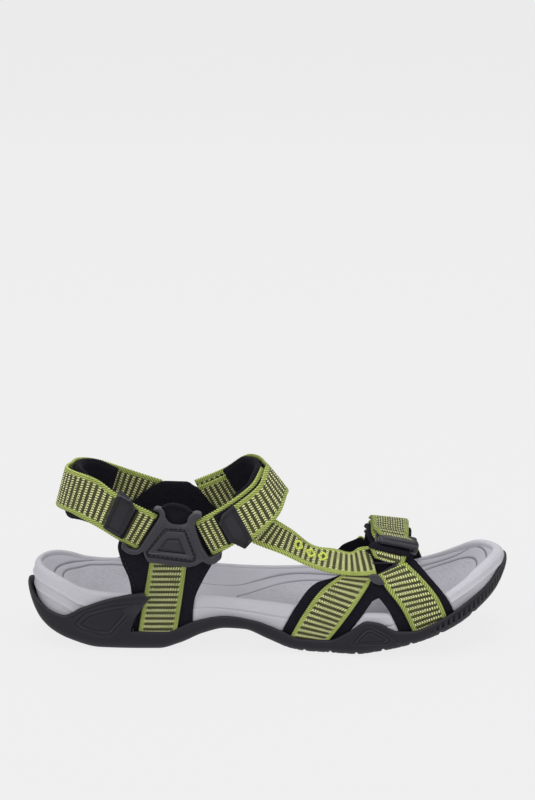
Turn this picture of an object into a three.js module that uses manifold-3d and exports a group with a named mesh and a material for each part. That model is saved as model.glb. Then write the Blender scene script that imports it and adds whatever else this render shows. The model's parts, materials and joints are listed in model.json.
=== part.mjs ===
// Strappy sport sandal, right foot, adult. Millimetres, +X towards the toe, +Y towards the
// inner (medial) side, +Z up. The origin is on the ground under the middle of the sandal.
import * as THREE from 'three';
import { mergeVertices } from 'three/addons/utils/BufferGeometryUtils.js';
import Module from 'manifold-3d';

const wasm = await Module();
wasm.setup();

// ---- driving dimensions ----
const GAP = 0.3;                 // clearance between pieces that touch
const OUTLINE_POINTS = 84;       // points round the sole
const OUTSOLE_WALL = 3.0;        // thickness of the rubber that wraps the midsole
const OUTSOLE_FLOOR = 5.0;       // thickness of the rubber under the foot
const SHANK_THICKNESS = 1.6;     // plate under the arch
const SHANK_HALF_WIDTH = 26;
const RIM_WIDTH = 4.5;           // top edge of the midsole
const SEAT_DEPTH = 11;           // depth of the footbed's seat below the rim
const BED_DEPTH = 7;             // depth of the footbed's middle below the rim
const WEBBING = 1.6;             // thickness of the woven straps
const LINING = 2.4;              // thickness of the neoprene linings
const PAD = 5.2;                 // thickness of the padded sleeves
const PATCH = 0.9;               // thickness of one half of a touch fastener
const TAB = 2.6;                 // thickness of a pull tab
const LAYER = WEBBING + 2 * PATCH + 3 * GAP;   // from a base strap to the strap closed over it
const MEDIAL_SHIFT = 2;          // the inner hub stands this much closer to the middle
const INNER_HUB_HEIGHT = 0.91;   // height of the inner hub over the height of the outer one
const INNER_HUB_TOP = 80;        // highest point of the inner hub plate
const HUB_FACE = 41.2;           // inner face of the outer hub plate, from the middle plane
const HUB_THICKNESS = 3.2;

// ---- materials ----
const finish = (color, roughness, metalness = 0) =>
  new THREE.MeshStandardMaterial({ color, roughness, metalness });
const RUBBER = finish(0x2b2a2e, 0.75);
const SHANK = finish(0x6b7066, 0.6);
const FOAM = finish(0xadaab2, 0.85);
const BED = finish(0xa6a3ab, 0.8);
const PLASTIC = finish(0x3a383d, 0.45);
const NEOPRENE = finish(0x0f0e12, 0.95);
const STRAP = finish(0x8fa548, 0.8);
const FASTENER = finish(0x151517, 1.0);

// ---- sole outline and height tables: [x, value] ----
const OUTER_EDGE = [[-141, -16], [-131, -26.5], [-115, -33.5], [-90, -37.5], [-60, -38], [-30, -37],
  [0, -39], [30, -44], [60, -48.5], [87, -47.5], [109, -40.5], [126, -29.5], [138, -13]];
const INNER_EDGE = [[-141, 15], [-131, 26], [-115, 33], [-90, 36.5], [-60, 35.5], [-30, 33],
  [0, 36], [30, 44], [60, 48.6], [87, 48.2], [109, 43.5], [126, 36], [139, 25]];
const HEEL_END = [-145, 0];
const TOE_END = [145.4, 8];
const GROUND = [[-145, 24], [-137, 13], [-129, 7.5], [-118, 3.5], [-100, 0], [-65, 0], [-52, 3.5], [-38, 9.5],
  [-25, 12.5], [-14, 12], [0, 6.5], [14, 1.2], [24, 0], [52, 0], [64, 1.8], [80, 5], [98, 9.6],
  [114, 15.4], [128, 22.8], [138, 28], [145, 35.5]];
const WRAP_TOP = [[-145, 33], [-139, 26.5], [-131, 21], [-122, 19.2], [-112, 25], [-99, 32], [-85, 37],
  [-75, 36.5], [-72, 26], [-69, 11], [-60, 11.5], [-45, 17.5], [-25, 21], [-8, 18.5], [8, 13], [20, 8.6],
  [36, 8.8], [48, 15], [59, 22], [66, 21], [76, 16], [86, 15.5], [98, 19], [110, 24.5], [122, 31],
  [134, 37], [141, 40.5], [145, 42]];
const RIM_TOP = [[-145, 45], [-135, 43.5], [-124, 40.5], [-113, 36.5], [-100, 34.5], [-40, 32.5], [-10, 30],
  [20, 27.5], [50, 25.5], [70, 25.5], [88, 28.5], [105, 33.5], [120, 40.5], [132, 46.5], [145, 49]];

// Smooth curve through a table of [x, value] that never overshoots and keeps level stretches level.
function smoothTable(table) {
  const step = (i) => (table[i + 1][1] - table[i][1]) / (table[i + 1][0] - table[i][0]);
  const slope = table.map((row, i) => {
    if (i === 0) return step(0);
    if (i === table.length - 1) return step(i - 1);
    const before = step(i - 1);
    const after = step(i);
    return before * after > 0 ? (2 * before * after) / (before + after) : 0;
  });
  return (x) => {
    const last = table.length - 2;
    const found = table.findIndex((row, i) => i <= last && x <= table[i + 1][0]);
    const i = found < 0 ? last : found;
    const width = table[i + 1][0] - table[i][0];
    const t = THREE.MathUtils.clamp((x - table[i][0]) / width, 0, 1);
    const rise = t * t * (3 - 2 * t);
    const lead = t * (1 - t) * (1 - t) * slope[i] - t * t * (1 - t) * slope[i + 1];
    return table[i][1] * (1 - rise) + table[i + 1][1] * rise + lead * width;
  };
}

const groundHeight = smoothTable(GROUND);
const wrapHeight = smoothTable(WRAP_TOP);
const rimHeight = smoothTable(RIM_TOP);

// ---- closed bodies ----
function signedVolume(positions, triangles) {
  const corner = (i) => new THREE.Vector3(...positions[i]);
  return triangles.reduce((sum, [a, b, c]) => sum + corner(a).dot(corner(b).cross(corner(c))) / 6, 0);
}

function solid(positions, triangles) {
  const outwards = signedVolume(positions, triangles) > 0;
  const faces = outwards ? triangles : triangles.map(([a, b, c]) => [a, c, b]);
  const geometry = new THREE.BufferGeometry();
  geometry.setAttribute('position', new THREE.Float32BufferAttribute(positions.flat(), 3));
  geometry.setIndex(faces.flat());
  return geometry;
}

// Rings of equal length joined into one body. A cap is a ladder across the first and last ring.
function stack(rings) {
  const count = rings[0].length;
  const triangles = [];
  const at = (ring, i) => ring * count + ((i + count) % count);
  for (let ring = 0; ring < rings.length - 1; ring += 1) {
    for (let i = 0; i < count; i += 1) {
      triangles.push([at(ring, i), at(ring, i + 1), at(ring + 1, i + 1)]);
      triangles.push([at(ring, i), at(ring + 1, i + 1), at(ring + 1, i)]);
    }
  }
  const top = rings.length - 1;
  for (let i = 0; i < count / 2 - 1; i += 1) {
    const far = count - 1 - i;
    const cap = [[i, i + 1, far], [i + 1, far - 1, far]].filter((t) => new Set(t).size === 3);
    cap.forEach(([a, b, c]) => triangles.push([at(0, a), at(0, c), at(0, b)]));
    cap.forEach(([a, b, c]) => triangles.push([at(top, a), at(top, b), at(top, c)]));
  }
  return solid(rings.flat(), triangles);
}

const toManifold = (geometry) => {
  const bare = geometry.clone();
  bare.deleteAttribute('normal');
  bare.deleteAttribute('uv');
  const merged = mergeVertices(bare, 1e-5);
  return new wasm.Manifold(new wasm.Mesh({
    numProp: 3,
    vertProperties: merged.attributes.position.array,
    triVerts: new Uint32Array(merged.index.array),
  }));
};

function fromManifold(body) {
  const mesh = body.getMesh();
  const geometry = new THREE.BufferGeometry();
  geometry.setAttribute('position', new THREE.BufferAttribute(mesh.vertProperties, 3));
  geometry.setIndex(new THREE.BufferAttribute(mesh.triVerts, 1));
  return geometry;
}

// The union of some solids, less the tools.
function carve(solids, tools) {
  const whole = solids.map(toManifold).reduce((body, next) => body.add(next));
  return fromManifold(tools.map(toManifold).reduce((body, tool) => body.subtract(tool), whole));
}

// ---- sole ----
const outline = (() => {
  const corners = [HEEL_END, ...OUTER_EDGE, TOE_END, ...INNER_EDGE.slice().reverse()];
  const curve = new THREE.CatmullRomCurve3(corners.map(([x, y]) => new THREE.Vector3(x, y, 0)), true);
  return curve.getSpacedPoints(OUTLINE_POINTS).slice(0, OUTLINE_POINTS);
})();

// The outline moved inwards, at the height that a function of x gives.
function soleRing(inset, height) {
  return outline.map((point, i) => {
    const next = outline[(i + 1) % outline.length];
    const before = outline[(i + outline.length - 1) % outline.length];
    const along = next.clone().sub(before).normalize();
    const x = point.x - along.y * inset;
    const y = point.y + along.x * inset;
    return [x, y, height(x)];
  });
}

function outsole() {
  const floor = (x) => groundHeight(x) + OUTSOLE_FLOOR;
  const wall = (x) => Math.max(wrapHeight(x), floor(x) + 1);
  return stack([
    soleRing(5, groundHeight),
    soleRing(1.6, (x) => groundHeight(x) + 1.8),
    soleRing(0, (x) => groundHeight(x) + 5),
    soleRing(0, (x) => wall(x) - 0.8),
    soleRing(0.8, wall),
    soleRing(OUTSOLE_WALL, wall),
    soleRing(OUTSOLE_WALL + 0.2, floor),
  ]);
}

function midsole() {
  const inset = OUTSOLE_WALL + 0.2 + GAP;
  return stack([
    soleRing(inset, (x) => groundHeight(x) + OUTSOLE_FLOOR + GAP),
    soleRing(inset, (x) => rimHeight(x) - 3),
    soleRing(inset + 0.8, rimHeight),
    soleRing(inset + RIM_WIDTH, rimHeight),
    soleRing(inset + RIM_WIDTH + 0.5, (x) => rimHeight(x) - SEAT_DEPTH),
  ]);
}

function footbed() {
  const inset = OUTSOLE_WALL + 0.2 + 2 * GAP + RIM_WIDTH + 0.5;
  return stack([
    soleRing(inset, (x) => rimHeight(x) - SEAT_DEPTH + GAP),
    soleRing(inset, (x) => rimHeight(x) - 2),
    soleRing(inset + 3, (x) => rimHeight(x) - 3.5),
    soleRing(inset + 9, (x) => rimHeight(x) - BED_DEPTH + 0.8),
    soleRing(inset + 15, (x) => rimHeight(x) - BED_DEPTH),
  ]);
}

// Thin plate that follows the raised underside of the arch.
function archInsert() {
  const from = -50;
  const to = 4;
  const steps = 14;
  const row = [];
  for (let i = 0; i <= steps; i += 1) {
    const x = THREE.MathUtils.lerp(from, to, i / steps);
    const top = groundHeight(x) - GAP;
    row.push([x, top, Math.max(top - SHANK_THICKNESS, 0.4)]);
  }
  const rings = row.map(([x, top, bottom]) => [
    [x, -SHANK_HALF_WIDTH, bottom], [x, SHANK_HALF_WIDTH, bottom],
    [x, SHANK_HALF_WIDTH, top], [x, -SHANK_HALF_WIDTH, top]]);
  return stack(rings);
}

// ---- straps: each station is [lower edge, upper edge], or [rear edge, front edge] ----
const HEEL_LOOP = [
  [[-75, -39.9, 63.5], [-62, -39.9, 85]],
  [[-88, -39.3, 70.5], [-77, -39.5, 92.4]],
  [[-98, -36.6, 76], [-89, -37.2, 98]],
  [[-108, -31.6, 80], [-100.5, -32, 102.3]],
  [[-116.5, -24, 82], [-110, -24, 104]],
  [[-121.5, -13, 82], [-115.5, -13, 104.3]],
  [[-123.5, 0, 81], [-117.5, 0, 103.3]],
  [[-121.5, 13, 78.5], [-115.5, 13, 101]],
  [[-115.5, 24, 75], [-109, 24, 97.5]],
  [[-106.5, 31.5, 70.5], [-99.5, 31.5, 93]],
  [[-94, 36.3, 66], [-86.5, 36.3, 88.5]],
  [[-76, 38, 60], [-65, 38, 81]],
];
const ANKLE_LOOP = [
  [[-32, -39.9, 60.3], [-43, -39.9, 82]],
  [[-19, -40, 68], [-29.5, -39.9, 89.6]],
  [[-7.5, -37, 75.5], [-18.5, -36, 96]],
  [[2, -30.5, 82.5], [-9.5, -29, 101.5]],
  [[7, -20.5, 87.5], [-5.5, -19, 105]],
  [[9.2, -8, 90], [-3.6, -7, 106.5]],
  [[8.8, 7, 90], [-4, 7, 106]],
  [[5, 20, 86.5], [-7, 19, 103]],
  [[-2.5, 30, 81], [-13.5, 28.5, 98.5]],
  [[-15, 36.6, 70], [-25.5, 35.6, 88.5]],
  [[-33, 38.2, 58.5], [-44, 38.2, 79.5]],
];
const INSTEP = [
  [[-8.8, -35, 67], [3.8, -27.5, 80]],
  [[9, -36, 59.5], [14.5, -22.5, 71]],
  [[24, -37, 54.5], [28.5, -19.5, 60.5]],
  [[38.5, -38.5, 51.5], [42.5, -21, 59]],
  [[51, -37.6, 53], [52.5, -21.5, 63.5]],
  [[58, -36.6, 54], [56.5, -22.5, 65]],
];
const SIDE_STRAP = [
  [[-69, -39.5, 59.5], [-47, -39.5, 59.5]],
  [[-71.2, -38.2, 46], [-48.8, -38.2, 46]],
  [[-74, -36.1, 30], [-51, -36.1, 30]],
  [[-77.5, -35.6, 8], [-54.5, -35.6, 8]],
];
const HUB_LINING = [
  [[-64, -37.1, 90.5], [-49, -37.1, 90]],
  [[-71, -37.1, 87], [-43, -37.1, 85.5]],
  [[-80, -37.1, 79], [-36.5, -37.1, 77]],
  [[-88, -37.1, 67], [-29.5, -37.1, 65]],
  [[-86.5, -37.1, 57], [-31.5, -37.1, 57]],
  [[-82, -35.6, 44], [-38, -35.6, 44]],
  [[-80.5, -33.7, 30], [-43.5, -33.7, 30]],
  [[-80, -33.2, 8], [-45, -33.2, 8]],
];
const OUTER_REAR_LEG = [
  [[41.5, -37.4, 49.5], [62, -39.4, 46]],
  [[31.5, -40, 39], [53, -43, 32]],
  [[21.5, -39.8, 24.5], [43.5, -43.2, 18]],
  [[12.5, -38, 7], [34.5, -41.6, 5.5]],
];
const OUTER_FRONT_LEG = [
  [[65, -38.6, 48.3], [82, -33.4, 54.3]],
  [[69.5, -41.8, 41.5], [91, -37.7, 45]],
  [[79, -44.0, 29], [100.5, -39.4, 33]],
  [[87, -43.4, 12], [107.5, -37.2, 18.5]],
];
const INNER_REAR_LEG = [
  [[57, 35.5, 46.5], [69, 39.5, 40.5]],
  [[49, 38.9, 36], [68, 42.5, 29.5]],
  [[39, 40.5, 24.5], [60, 44.5, 18]],
  [[30, 40, 7], [51, 44.2, 5.5]],
];
const INNER_FRONT_LEG = [
  [[69.5, 38.5, 46.5], [81.5, 34.8, 50.4]],
  [[72.5, 41.5, 41], [89, 38.5, 44]],
  [[77, 44.6, 29], [96, 42.5, 31]],
  [[80, 45.2, 11], [99, 42, 15]],
];
const TOE_STRAP = [
  [[60.5, -33, 55.5], [81, -32.5, 53.5]],
  [[59.5, -22, 61.7], [82, -22, 57.5]],
  [[60, -10, 64.6], [84, -10, 61]],
  [[60.5, 3, 65], [85, 3, 62]],
  [[61, 16, 63], [85.5, 16, 60.5]],
  [[62, 27, 58.2], [84.5, 27, 56]],
  [[63.5, 31.5, 55.3], [82.5, 31.2, 54]],
];

// The inner hub is the outer one mirrored, closer to the middle and a little lower.
const innerHub = (stations) => stations.map((pair) =>
  pair.map(([x, y, z]) => [x, -y - MEDIAL_SHIFT, z * INNER_HUB_HEIGHT]));

// A band between two edge curves. `side` is the sign that makes a positive offset face outwards.
function band(stations, side, { from = 0, to = 1, steps = 10, thickness = WEBBING, offset = 0,
  widen = 0 }) {
  const edges = [0, 1].map((edge) => new THREE.CatmullRomCurve3(
    stations.map((pair) => new THREE.Vector3(...pair[edge])), false, 'centripetal'));
  const offsetAt = typeof offset === 'function' ? offset : () => offset;
  const widenAt = typeof widen === 'function' ? widen : () => widen;
  const rings = [];
  for (let i = 0; i <= steps; i += 1) {
    const t = THREE.MathUtils.lerp(from, to, i / steps);
    const low = edges[0].getPoint(t);
    const high = edges[1].getPoint(t);
    const along = edges[0].getTangent(t).add(edges[1].getTangent(t)).normalize();
    const across = high.clone().sub(low).normalize();
    const out = new THREE.Vector3().crossVectors(across, along).normalize().multiplyScalar(side);
    low.addScaledVector(across, -widenAt(t));
    high.addScaledVector(across, widenAt(t));
    const inner = out.clone().multiplyScalar(offsetAt(t) - thickness / 2);
    const outer = out.clone().multiplyScalar(offsetAt(t) + thickness / 2);
    const ring = [low.clone().add(inner), high.clone().add(inner),
      high.clone().add(outer), low.clone().add(outer)];
    rings.push(ring.map((point) => point.toArray()));
  }
  return stack(rings);
}

const inflated = (options) => ({ ...options, thickness: options.thickness + 2 * GAP, widen: GAP });

// ---- moulded plates ----
// A flat outline in x and z, given thickness in y from `face` outwards on one side of the foot.
function sidePlate(points, face, thickness, side) {
  const shape = new THREE.Shape(points.map(([x, z]) => new THREE.Vector2(x, z)));
  const geometry = new THREE.ExtrudeGeometry(shape, { depth: thickness, bevelEnabled: false });
  geometry.rotateX(Math.PI / 2);
  const low = side > 0 ? face + thickness : -face;
  geometry.translate(0, low, 0);
  return geometry;
}

const HUB_OUTLINE = [[-86.5, 66], [-83, 62], [-77, 61.5], [-72.5, 56.5], [-44, 53.5], [-39.5, 57],
  [-33, 55], [-28.5, 59.5], [-38.5, 82], [-43, 88], [-48, 92], [-58, 92.5], [-63.5, 90], [-69, 84]];

const hubPlate = (side) => {
  if (side < 0) return sidePlate(HUB_OUTLINE, HUB_FACE, HUB_THICKNESS, side);
  const lowered = HUB_OUTLINE.map(([x, z]) => [x, Math.min(z * INNER_HUB_HEIGHT, INNER_HUB_TOP)]);
  return sidePlate(lowered, HUB_FACE - MEDIAL_SHIFT, HUB_THICKNESS, side);
};

// Triangular ring that joins the instep strap, the toe strap and the two legs.
function ring(side) {
  const outer = [[62.2, 46.2], [65.2, 46.2], [79.5, 55.2], [79.5, 56.6], [61.2, 56.6]];
  const inner = [[63.6, 48.4], [65, 48.4], [75.6, 54.9], [63.2, 54.9]];
  const shape = new THREE.Shape(outer.map(([x, z]) => new THREE.Vector2(x, z)));
  shape.holes.push(new THREE.Path(inner.map(([x, z]) => new THREE.Vector2(x, z))));
  const geometry = new THREE.ExtrudeGeometry(shape, { depth: 1.6, bevelEnabled: false });
  geometry.rotateX(Math.PI / 2);
  geometry.translate(-70, 0, -52);
  geometry.rotateX(side * THREE.MathUtils.degToRad(30));
  geometry.translate(70, side * 39.6, 53);
  return geometry;
}

// Ladder-lock buckle: a frame with two windows, tilted to lie on the toe strap.
const BUCKLE_CENTRE = [76.5, -20, 62.5];
const BUCKLE_WIDTH = 27;         // along the bars
const BUCKLE_LENGTH = 19;        // along the strap
const BUCKLE_THICKNESS = 2.6;
const BUCKLE_ROLL = 20;          // degrees, down towards the outer side
const BUCKLE_PITCH = 11;         // degrees, down towards the toe
const BAR = 3;

function rectangle(width, length, x = 0, y = 0) {
  const corners = [[-1, -1], [1, -1], [1, 1], [-1, 1]];
  return corners.map(([sx, sy]) => new THREE.Vector2(x + (sx * width) / 2, y + (sy * length) / 2));
}

function buckleFrame() {
  const shape = new THREE.Shape(rectangle(BUCKLE_WIDTH, BUCKLE_LENGTH));
  const window = (BUCKLE_LENGTH - 3 * BAR) / 2;
  for (const y of [-(window + BAR) / 2, (window + BAR) / 2]) {
    shape.holes.push(new THREE.Path(rectangle(BUCKLE_WIDTH - 2 * BAR, window, 0, y)));
  }
  const depth = BUCKLE_THICKNESS;
  return new THREE.ExtrudeGeometry(shape, { depth, bevelEnabled: false });
}

function placeOnToe(geometry, lift) {
  geometry.translate(0, 0, lift);
  geometry.rotateX(THREE.MathUtils.degToRad(BUCKLE_ROLL));
  geometry.rotateY(THREE.MathUtils.degToRad(BUCKLE_PITCH));
  geometry.translate(...BUCKLE_CENTRE);
  return geometry;
}

// The lever is the thick bar over the outer end of the frame.
const LEVER_LENGTH = 5;
const LEVER_THICKNESS = 2.2;
const buckleLever = () => {
  const bar = new THREE.BoxGeometry(BUCKLE_WIDTH - 2, LEVER_LENGTH, LEVER_THICKNESS);
  bar.translate(0, (LEVER_LENGTH - BUCKLE_LENGTH) / 2, 0);
  return placeOnToe(bar, BUCKLE_THICKNESS + GAP + LEVER_THICKNESS / 2);
};

// ---- assembly ----
const HUB_LINING_BAND = { thickness: LINING, steps: 14 };
const SIDE_BAND = { thickness: WEBBING, steps: 8 };
const LEG_BAND = { thickness: WEBBING, steps: 8 };
const LEG_LINING = { thickness: LINING, offset: -(WEBBING + LINING) / 2 - GAP, widen: 5.5, steps: 8 };

const TOE_BAND = { thickness: WEBBING, steps: 14 };
const TOE_PAD = { thickness: LINING, widen: 2.5, from: 0.06, to: 0.94, steps: 14,
  offset: -(WEBBING + LINING) / 2 - 2 * GAP };

const sandal = new THREE.Group();
function add(name, geometry, material) {
  const mesh = new THREE.Mesh(geometry, material);
  mesh.name = name;
  sandal.add(mesh);
}

// The rubber keeps a thin wall outside each strap. The foam is open outwards there, so its tools
// reach OPEN_SIDE further out.
const OPEN_SIDE = 6;
const opened = (options) => ({ ...inflated(options), thickness: options.thickness + 2 * GAP + OPEN_SIDE,
  offset: (options.offset ?? 0) + OPEN_SIDE / 2, widen: (options.widen ?? 0) + GAP });
const rubberPockets = [];
const foamPockets = [];
const SIDES = [
  { word: 'outer', side: -1, lining: HUB_LINING, strap: SIDE_STRAP, legs: [OUTER_REAR_LEG, OUTER_FRONT_LEG] },
  { word: 'inner', side: 1, lining: innerHub(HUB_LINING), strap: innerHub(SIDE_STRAP),
    legs: [INNER_REAR_LEG, INNER_FRONT_LEG] },
];
for (const { word, side, lining, strap, legs } of SIDES) {
  add(`${word}_hub_lining`, band(lining, side, HUB_LINING_BAND), NEOPRENE);
  add(`${word}_side_webbing`, band(strap, side, SIDE_BAND), STRAP);
  add(`${word}_hub_plate`, hubPlate(side), PLASTIC);
  rubberPockets.push(band(lining, side, inflated(HUB_LINING_BAND)));
  rubberPockets.push(band(strap, side, inflated(SIDE_BAND)));
  foamPockets.push(band(lining, side, opened(HUB_LINING_BAND)));

  const over = legs.map((leg) => band(leg, side, { ...inflated(LEG_BAND), thickness: WEBBING + 3 * GAP }));
  const across = [inflated(TOE_BAND), { ...inflated(TOE_PAD), widen: TOE_PAD.widen + GAP }];
  over.push(...across.map((options) => band(TOE_STRAP, 1, options)));
  const linings = legs.map((leg) => carve([band(leg, side, LEG_LINING)], over));
  add(`${word}_leg_lining`, carve(linings, []), NEOPRENE);
  add(`${word}_rear_leg_webbing`, band(legs[0], side, LEG_BAND), STRAP);
  add(`${word}_front_leg_webbing`, band(legs[1], side, LEG_BAND), STRAP);
  for (const leg of legs) {
    rubberPockets.push(band(leg, side, inflated(LEG_BAND)));
    rubberPockets.push(band(leg, side, { ...inflated(LEG_LINING), widen: LEG_LINING.widen + GAP }));
    foamPockets.push(band(leg, side, opened(LEG_LINING)));
  }
  add(`${word}_ring`, ring(side), PLASTIC);
}

add('outsole', carve([outsole()], rubberPockets), RUBBER);
add('arch_insert', archInsert(), SHANK);
add('midsole', carve([midsole()], foamPockets), FOAM);
add('footbed', carve([footbed()], foamPockets), BED);

// Where the closing strap leaves the base strap, as a fraction of each loop.
const FOLD = 0.42;
const TAB_START = 0.085;
const TAB_END = 0.168;
const easeOut = (t) => THREE.MathUtils.smoothstep(t, FOLD + 0.02, FOLD + 0.16);
const closedOver = (t) => LAYER * (1 - easeOut(t));
const padOffset = -(WEBBING + PAD) / 2 - 2 * GAP;

function loopStraps(word, stations, side) {
  const run = (options) => band(stations, side, options);
  add(`${word}_base_webbing`, run({ from: 0, to: FOLD - 0.04, steps: 8 }), STRAP);
  add(`${word}_loop_patch`, run({ from: 0.075, to: FOLD - 0.05, steps: 8, thickness: PATCH, widen: -2,
    offset: (WEBBING + PATCH) / 2 + GAP }), FASTENER);
  add(`${word}_hook_patch`, run({ from: TAB_START + 0.03, to: FOLD - 0.08, steps: 6, thickness: PATCH,
    widen: -2, offset: (WEBBING + PATCH) / 2 + 2 * GAP + PATCH }), FASTENER);
  add(`${word}_flap_webbing`, run({ from: TAB_END + 0.004, to: FOLD - 0.004, steps: 6,
    offset: closedOver }), STRAP);
  add(`${word}_pull_tab`, run({ from: TAB_START, to: TAB_END, steps: 2, thickness: TAB,
    offset: LAYER + 0.5, widen: (t) => THREE.MathUtils.mapLinear(t, TAB_START, TAB_END, -3, 0.5) }),
  PLASTIC);
  add(`${word}_closure_webbing`, run({ from: FOLD + 0.004, to: 1, steps: 14, offset: closedOver }), STRAP);
  add(`${word}_pad`, run({ from: 0.2, to: 0.9, steps: 16, thickness: PAD, offset: padOffset,
    widen: 1.5 }), NEOPRENE);
}

loopStraps('heel', HEEL_LOOP, 1);
loopStraps('ankle', ANKLE_LOOP, -1);
add('instep_webbing', band(INSTEP, -1, { steps: 12 }), STRAP);

const TOE_LIFT = 2.8;            // the loose tail above the strap it folds back over
add('toe_strap_webbing', band(TOE_STRAP, 1, TOE_BAND), STRAP);
add('toe_strap_pad', band(TOE_STRAP, 1, TOE_PAD), NEOPRENE);
add('toe_strap_tail', band(TOE_STRAP, 1, { from: 0.345, to: 0.86, steps: 8, offset: TOE_LIFT }), STRAP);
add('buckle_frame', placeOnToe(buckleFrame(), 0), PLASTIC);
add('buckle_lever', buckleLever(), PLASTIC);

export default sandal;
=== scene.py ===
"""Looks of a strappy sport sandal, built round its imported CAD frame.

Tables and routes are in millimetres, in the frame's axes: +X towards the toe, +Y towards the inner side,
+Z up. They repeat the design's own routes, and `mesh_object` turns them into metres.
"""

import json
import math

import bmesh
import bpy
import numpy as np
from mathutils import Matrix, Vector
from mathutils.bvhtree import BVHTree

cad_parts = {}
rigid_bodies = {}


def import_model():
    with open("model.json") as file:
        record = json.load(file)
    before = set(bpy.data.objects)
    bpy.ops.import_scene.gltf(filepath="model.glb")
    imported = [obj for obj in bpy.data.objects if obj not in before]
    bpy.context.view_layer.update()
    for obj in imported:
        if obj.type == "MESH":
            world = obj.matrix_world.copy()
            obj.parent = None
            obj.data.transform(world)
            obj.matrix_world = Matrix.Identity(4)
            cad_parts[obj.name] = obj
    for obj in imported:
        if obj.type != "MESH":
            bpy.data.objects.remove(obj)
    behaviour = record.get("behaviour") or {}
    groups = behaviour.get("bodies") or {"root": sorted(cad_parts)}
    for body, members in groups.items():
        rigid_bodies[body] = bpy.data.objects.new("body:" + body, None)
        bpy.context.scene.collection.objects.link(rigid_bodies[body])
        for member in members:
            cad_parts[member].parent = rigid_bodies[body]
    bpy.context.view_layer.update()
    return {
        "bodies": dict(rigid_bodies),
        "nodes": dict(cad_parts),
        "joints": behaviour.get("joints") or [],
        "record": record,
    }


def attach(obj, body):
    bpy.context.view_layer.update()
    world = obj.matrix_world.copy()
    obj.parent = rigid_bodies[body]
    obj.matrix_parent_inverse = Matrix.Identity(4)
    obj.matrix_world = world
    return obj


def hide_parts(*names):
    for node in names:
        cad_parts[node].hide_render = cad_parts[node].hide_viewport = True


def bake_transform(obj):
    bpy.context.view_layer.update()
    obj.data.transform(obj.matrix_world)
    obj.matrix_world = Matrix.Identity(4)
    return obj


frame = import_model()

MM = 0.001

# ------------------------------------------------------------------ driving dimensions, in millimetres
WEBBING = 1.6                              # thickness of every strap
LINING = 2.4                               # thickness of the neoprene under the straps
PAD_THICKNESS = 4.4                        # thickness of a pad before it is swollen
PAD_GAP = 1.1                              # room left for the swelling, between a pad and its strap
PATCH = 0.9                                # thickness of hook and loop tape
GAP = 0.3                                  # clear space between two layers
LAYER = WEBBING + 2 * PATCH + 3 * GAP      # from a base strap to the strap closed over it
RIB_PITCH = 3.5                            # one cross rib of the webbing
DOT_PITCH = 1.5                            # one bright stitch across the webbing
SELVEDGE = 2.7                             # plain edge of the webbing
FOLD = 0.42                                # where a closure leaves its base strap, along the loop
TAB_START, TAB_END = 0.085, 0.168          # the pull tab, along the loop
MEDIAL_SHIFT = 2                           # the inner hub lies nearer to the middle
INNER_HUB_HEIGHT = 0.91                    # height of the inner hub against the outer one
HUB_FACE = 41.2                            # outer face of the outer hub plate

# ------------------------------------------------------------------ sole tables
OUTER_EDGE = [(-141, -16), (-131, -26.5), (-115, -33.5), (-90, -37.5), (-60, -38), (-30, -37), (0, -39),
              (30, -44), (60, -48.5), (87, -47.5), (109, -40.5), (126, -29.5), (138, -13)]
INNER_EDGE = [(-141, 15), (-131, 26), (-115, 33), (-90, 36.5), (-60, 35.5), (-30, 33), (0, 36), (30, 44),
              (60, 48.6), (87, 48.2), (109, 43.5), (126, 36), (139, 25)]
HEEL_END, TOE_END = (-145, 0), (145.4, 8)
GROUND = [(-145, 24), (-137, 13), (-129, 7.5), (-118, 3.5), (-100, 0), (-65, 0), (-52, 3.5), (-38, 9.5),
          (-25, 12.5), (-14, 12), (0, 6.5), (14, 1.2), (24, 0), (52, 0), (64, 1.8), (80, 5), (98, 9.6),
          (114, 15.4), (128, 22.8), (138, 28), (145, 35.5)]
WRAP_TOP = [(-145, 33), (-139, 26.5), (-131, 21), (-122, 19.2), (-112, 25), (-99, 32), (-90, 36), (-85, 37),
            (-82.5, 35), (-81.8, 12), (-60, 11.5), (-45, 17.5), (-25, 21), (-8, 18.5), (8, 13), (20, 8.6),
            (36, 8.8), (48, 15), (59, 22), (66, 21), (76, 16), (86, 15.5), (98, 19), (110, 24.5), (122, 31),
            (134, 37.6), (139, 41.4), (143, 44.6), (145, 45.6)]
RIM_TOP = [(-145, 45), (-135, 43.5), (-124, 40.5), (-113, 36.5), (-100, 34.5), (-40, 32.5), (-10, 30),
           (20, 27.5), (50, 25.5), (70, 25.5), (88, 28.5), (105, 33.5), (120, 40.5), (132, 46.5), (145, 49)]

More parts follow.
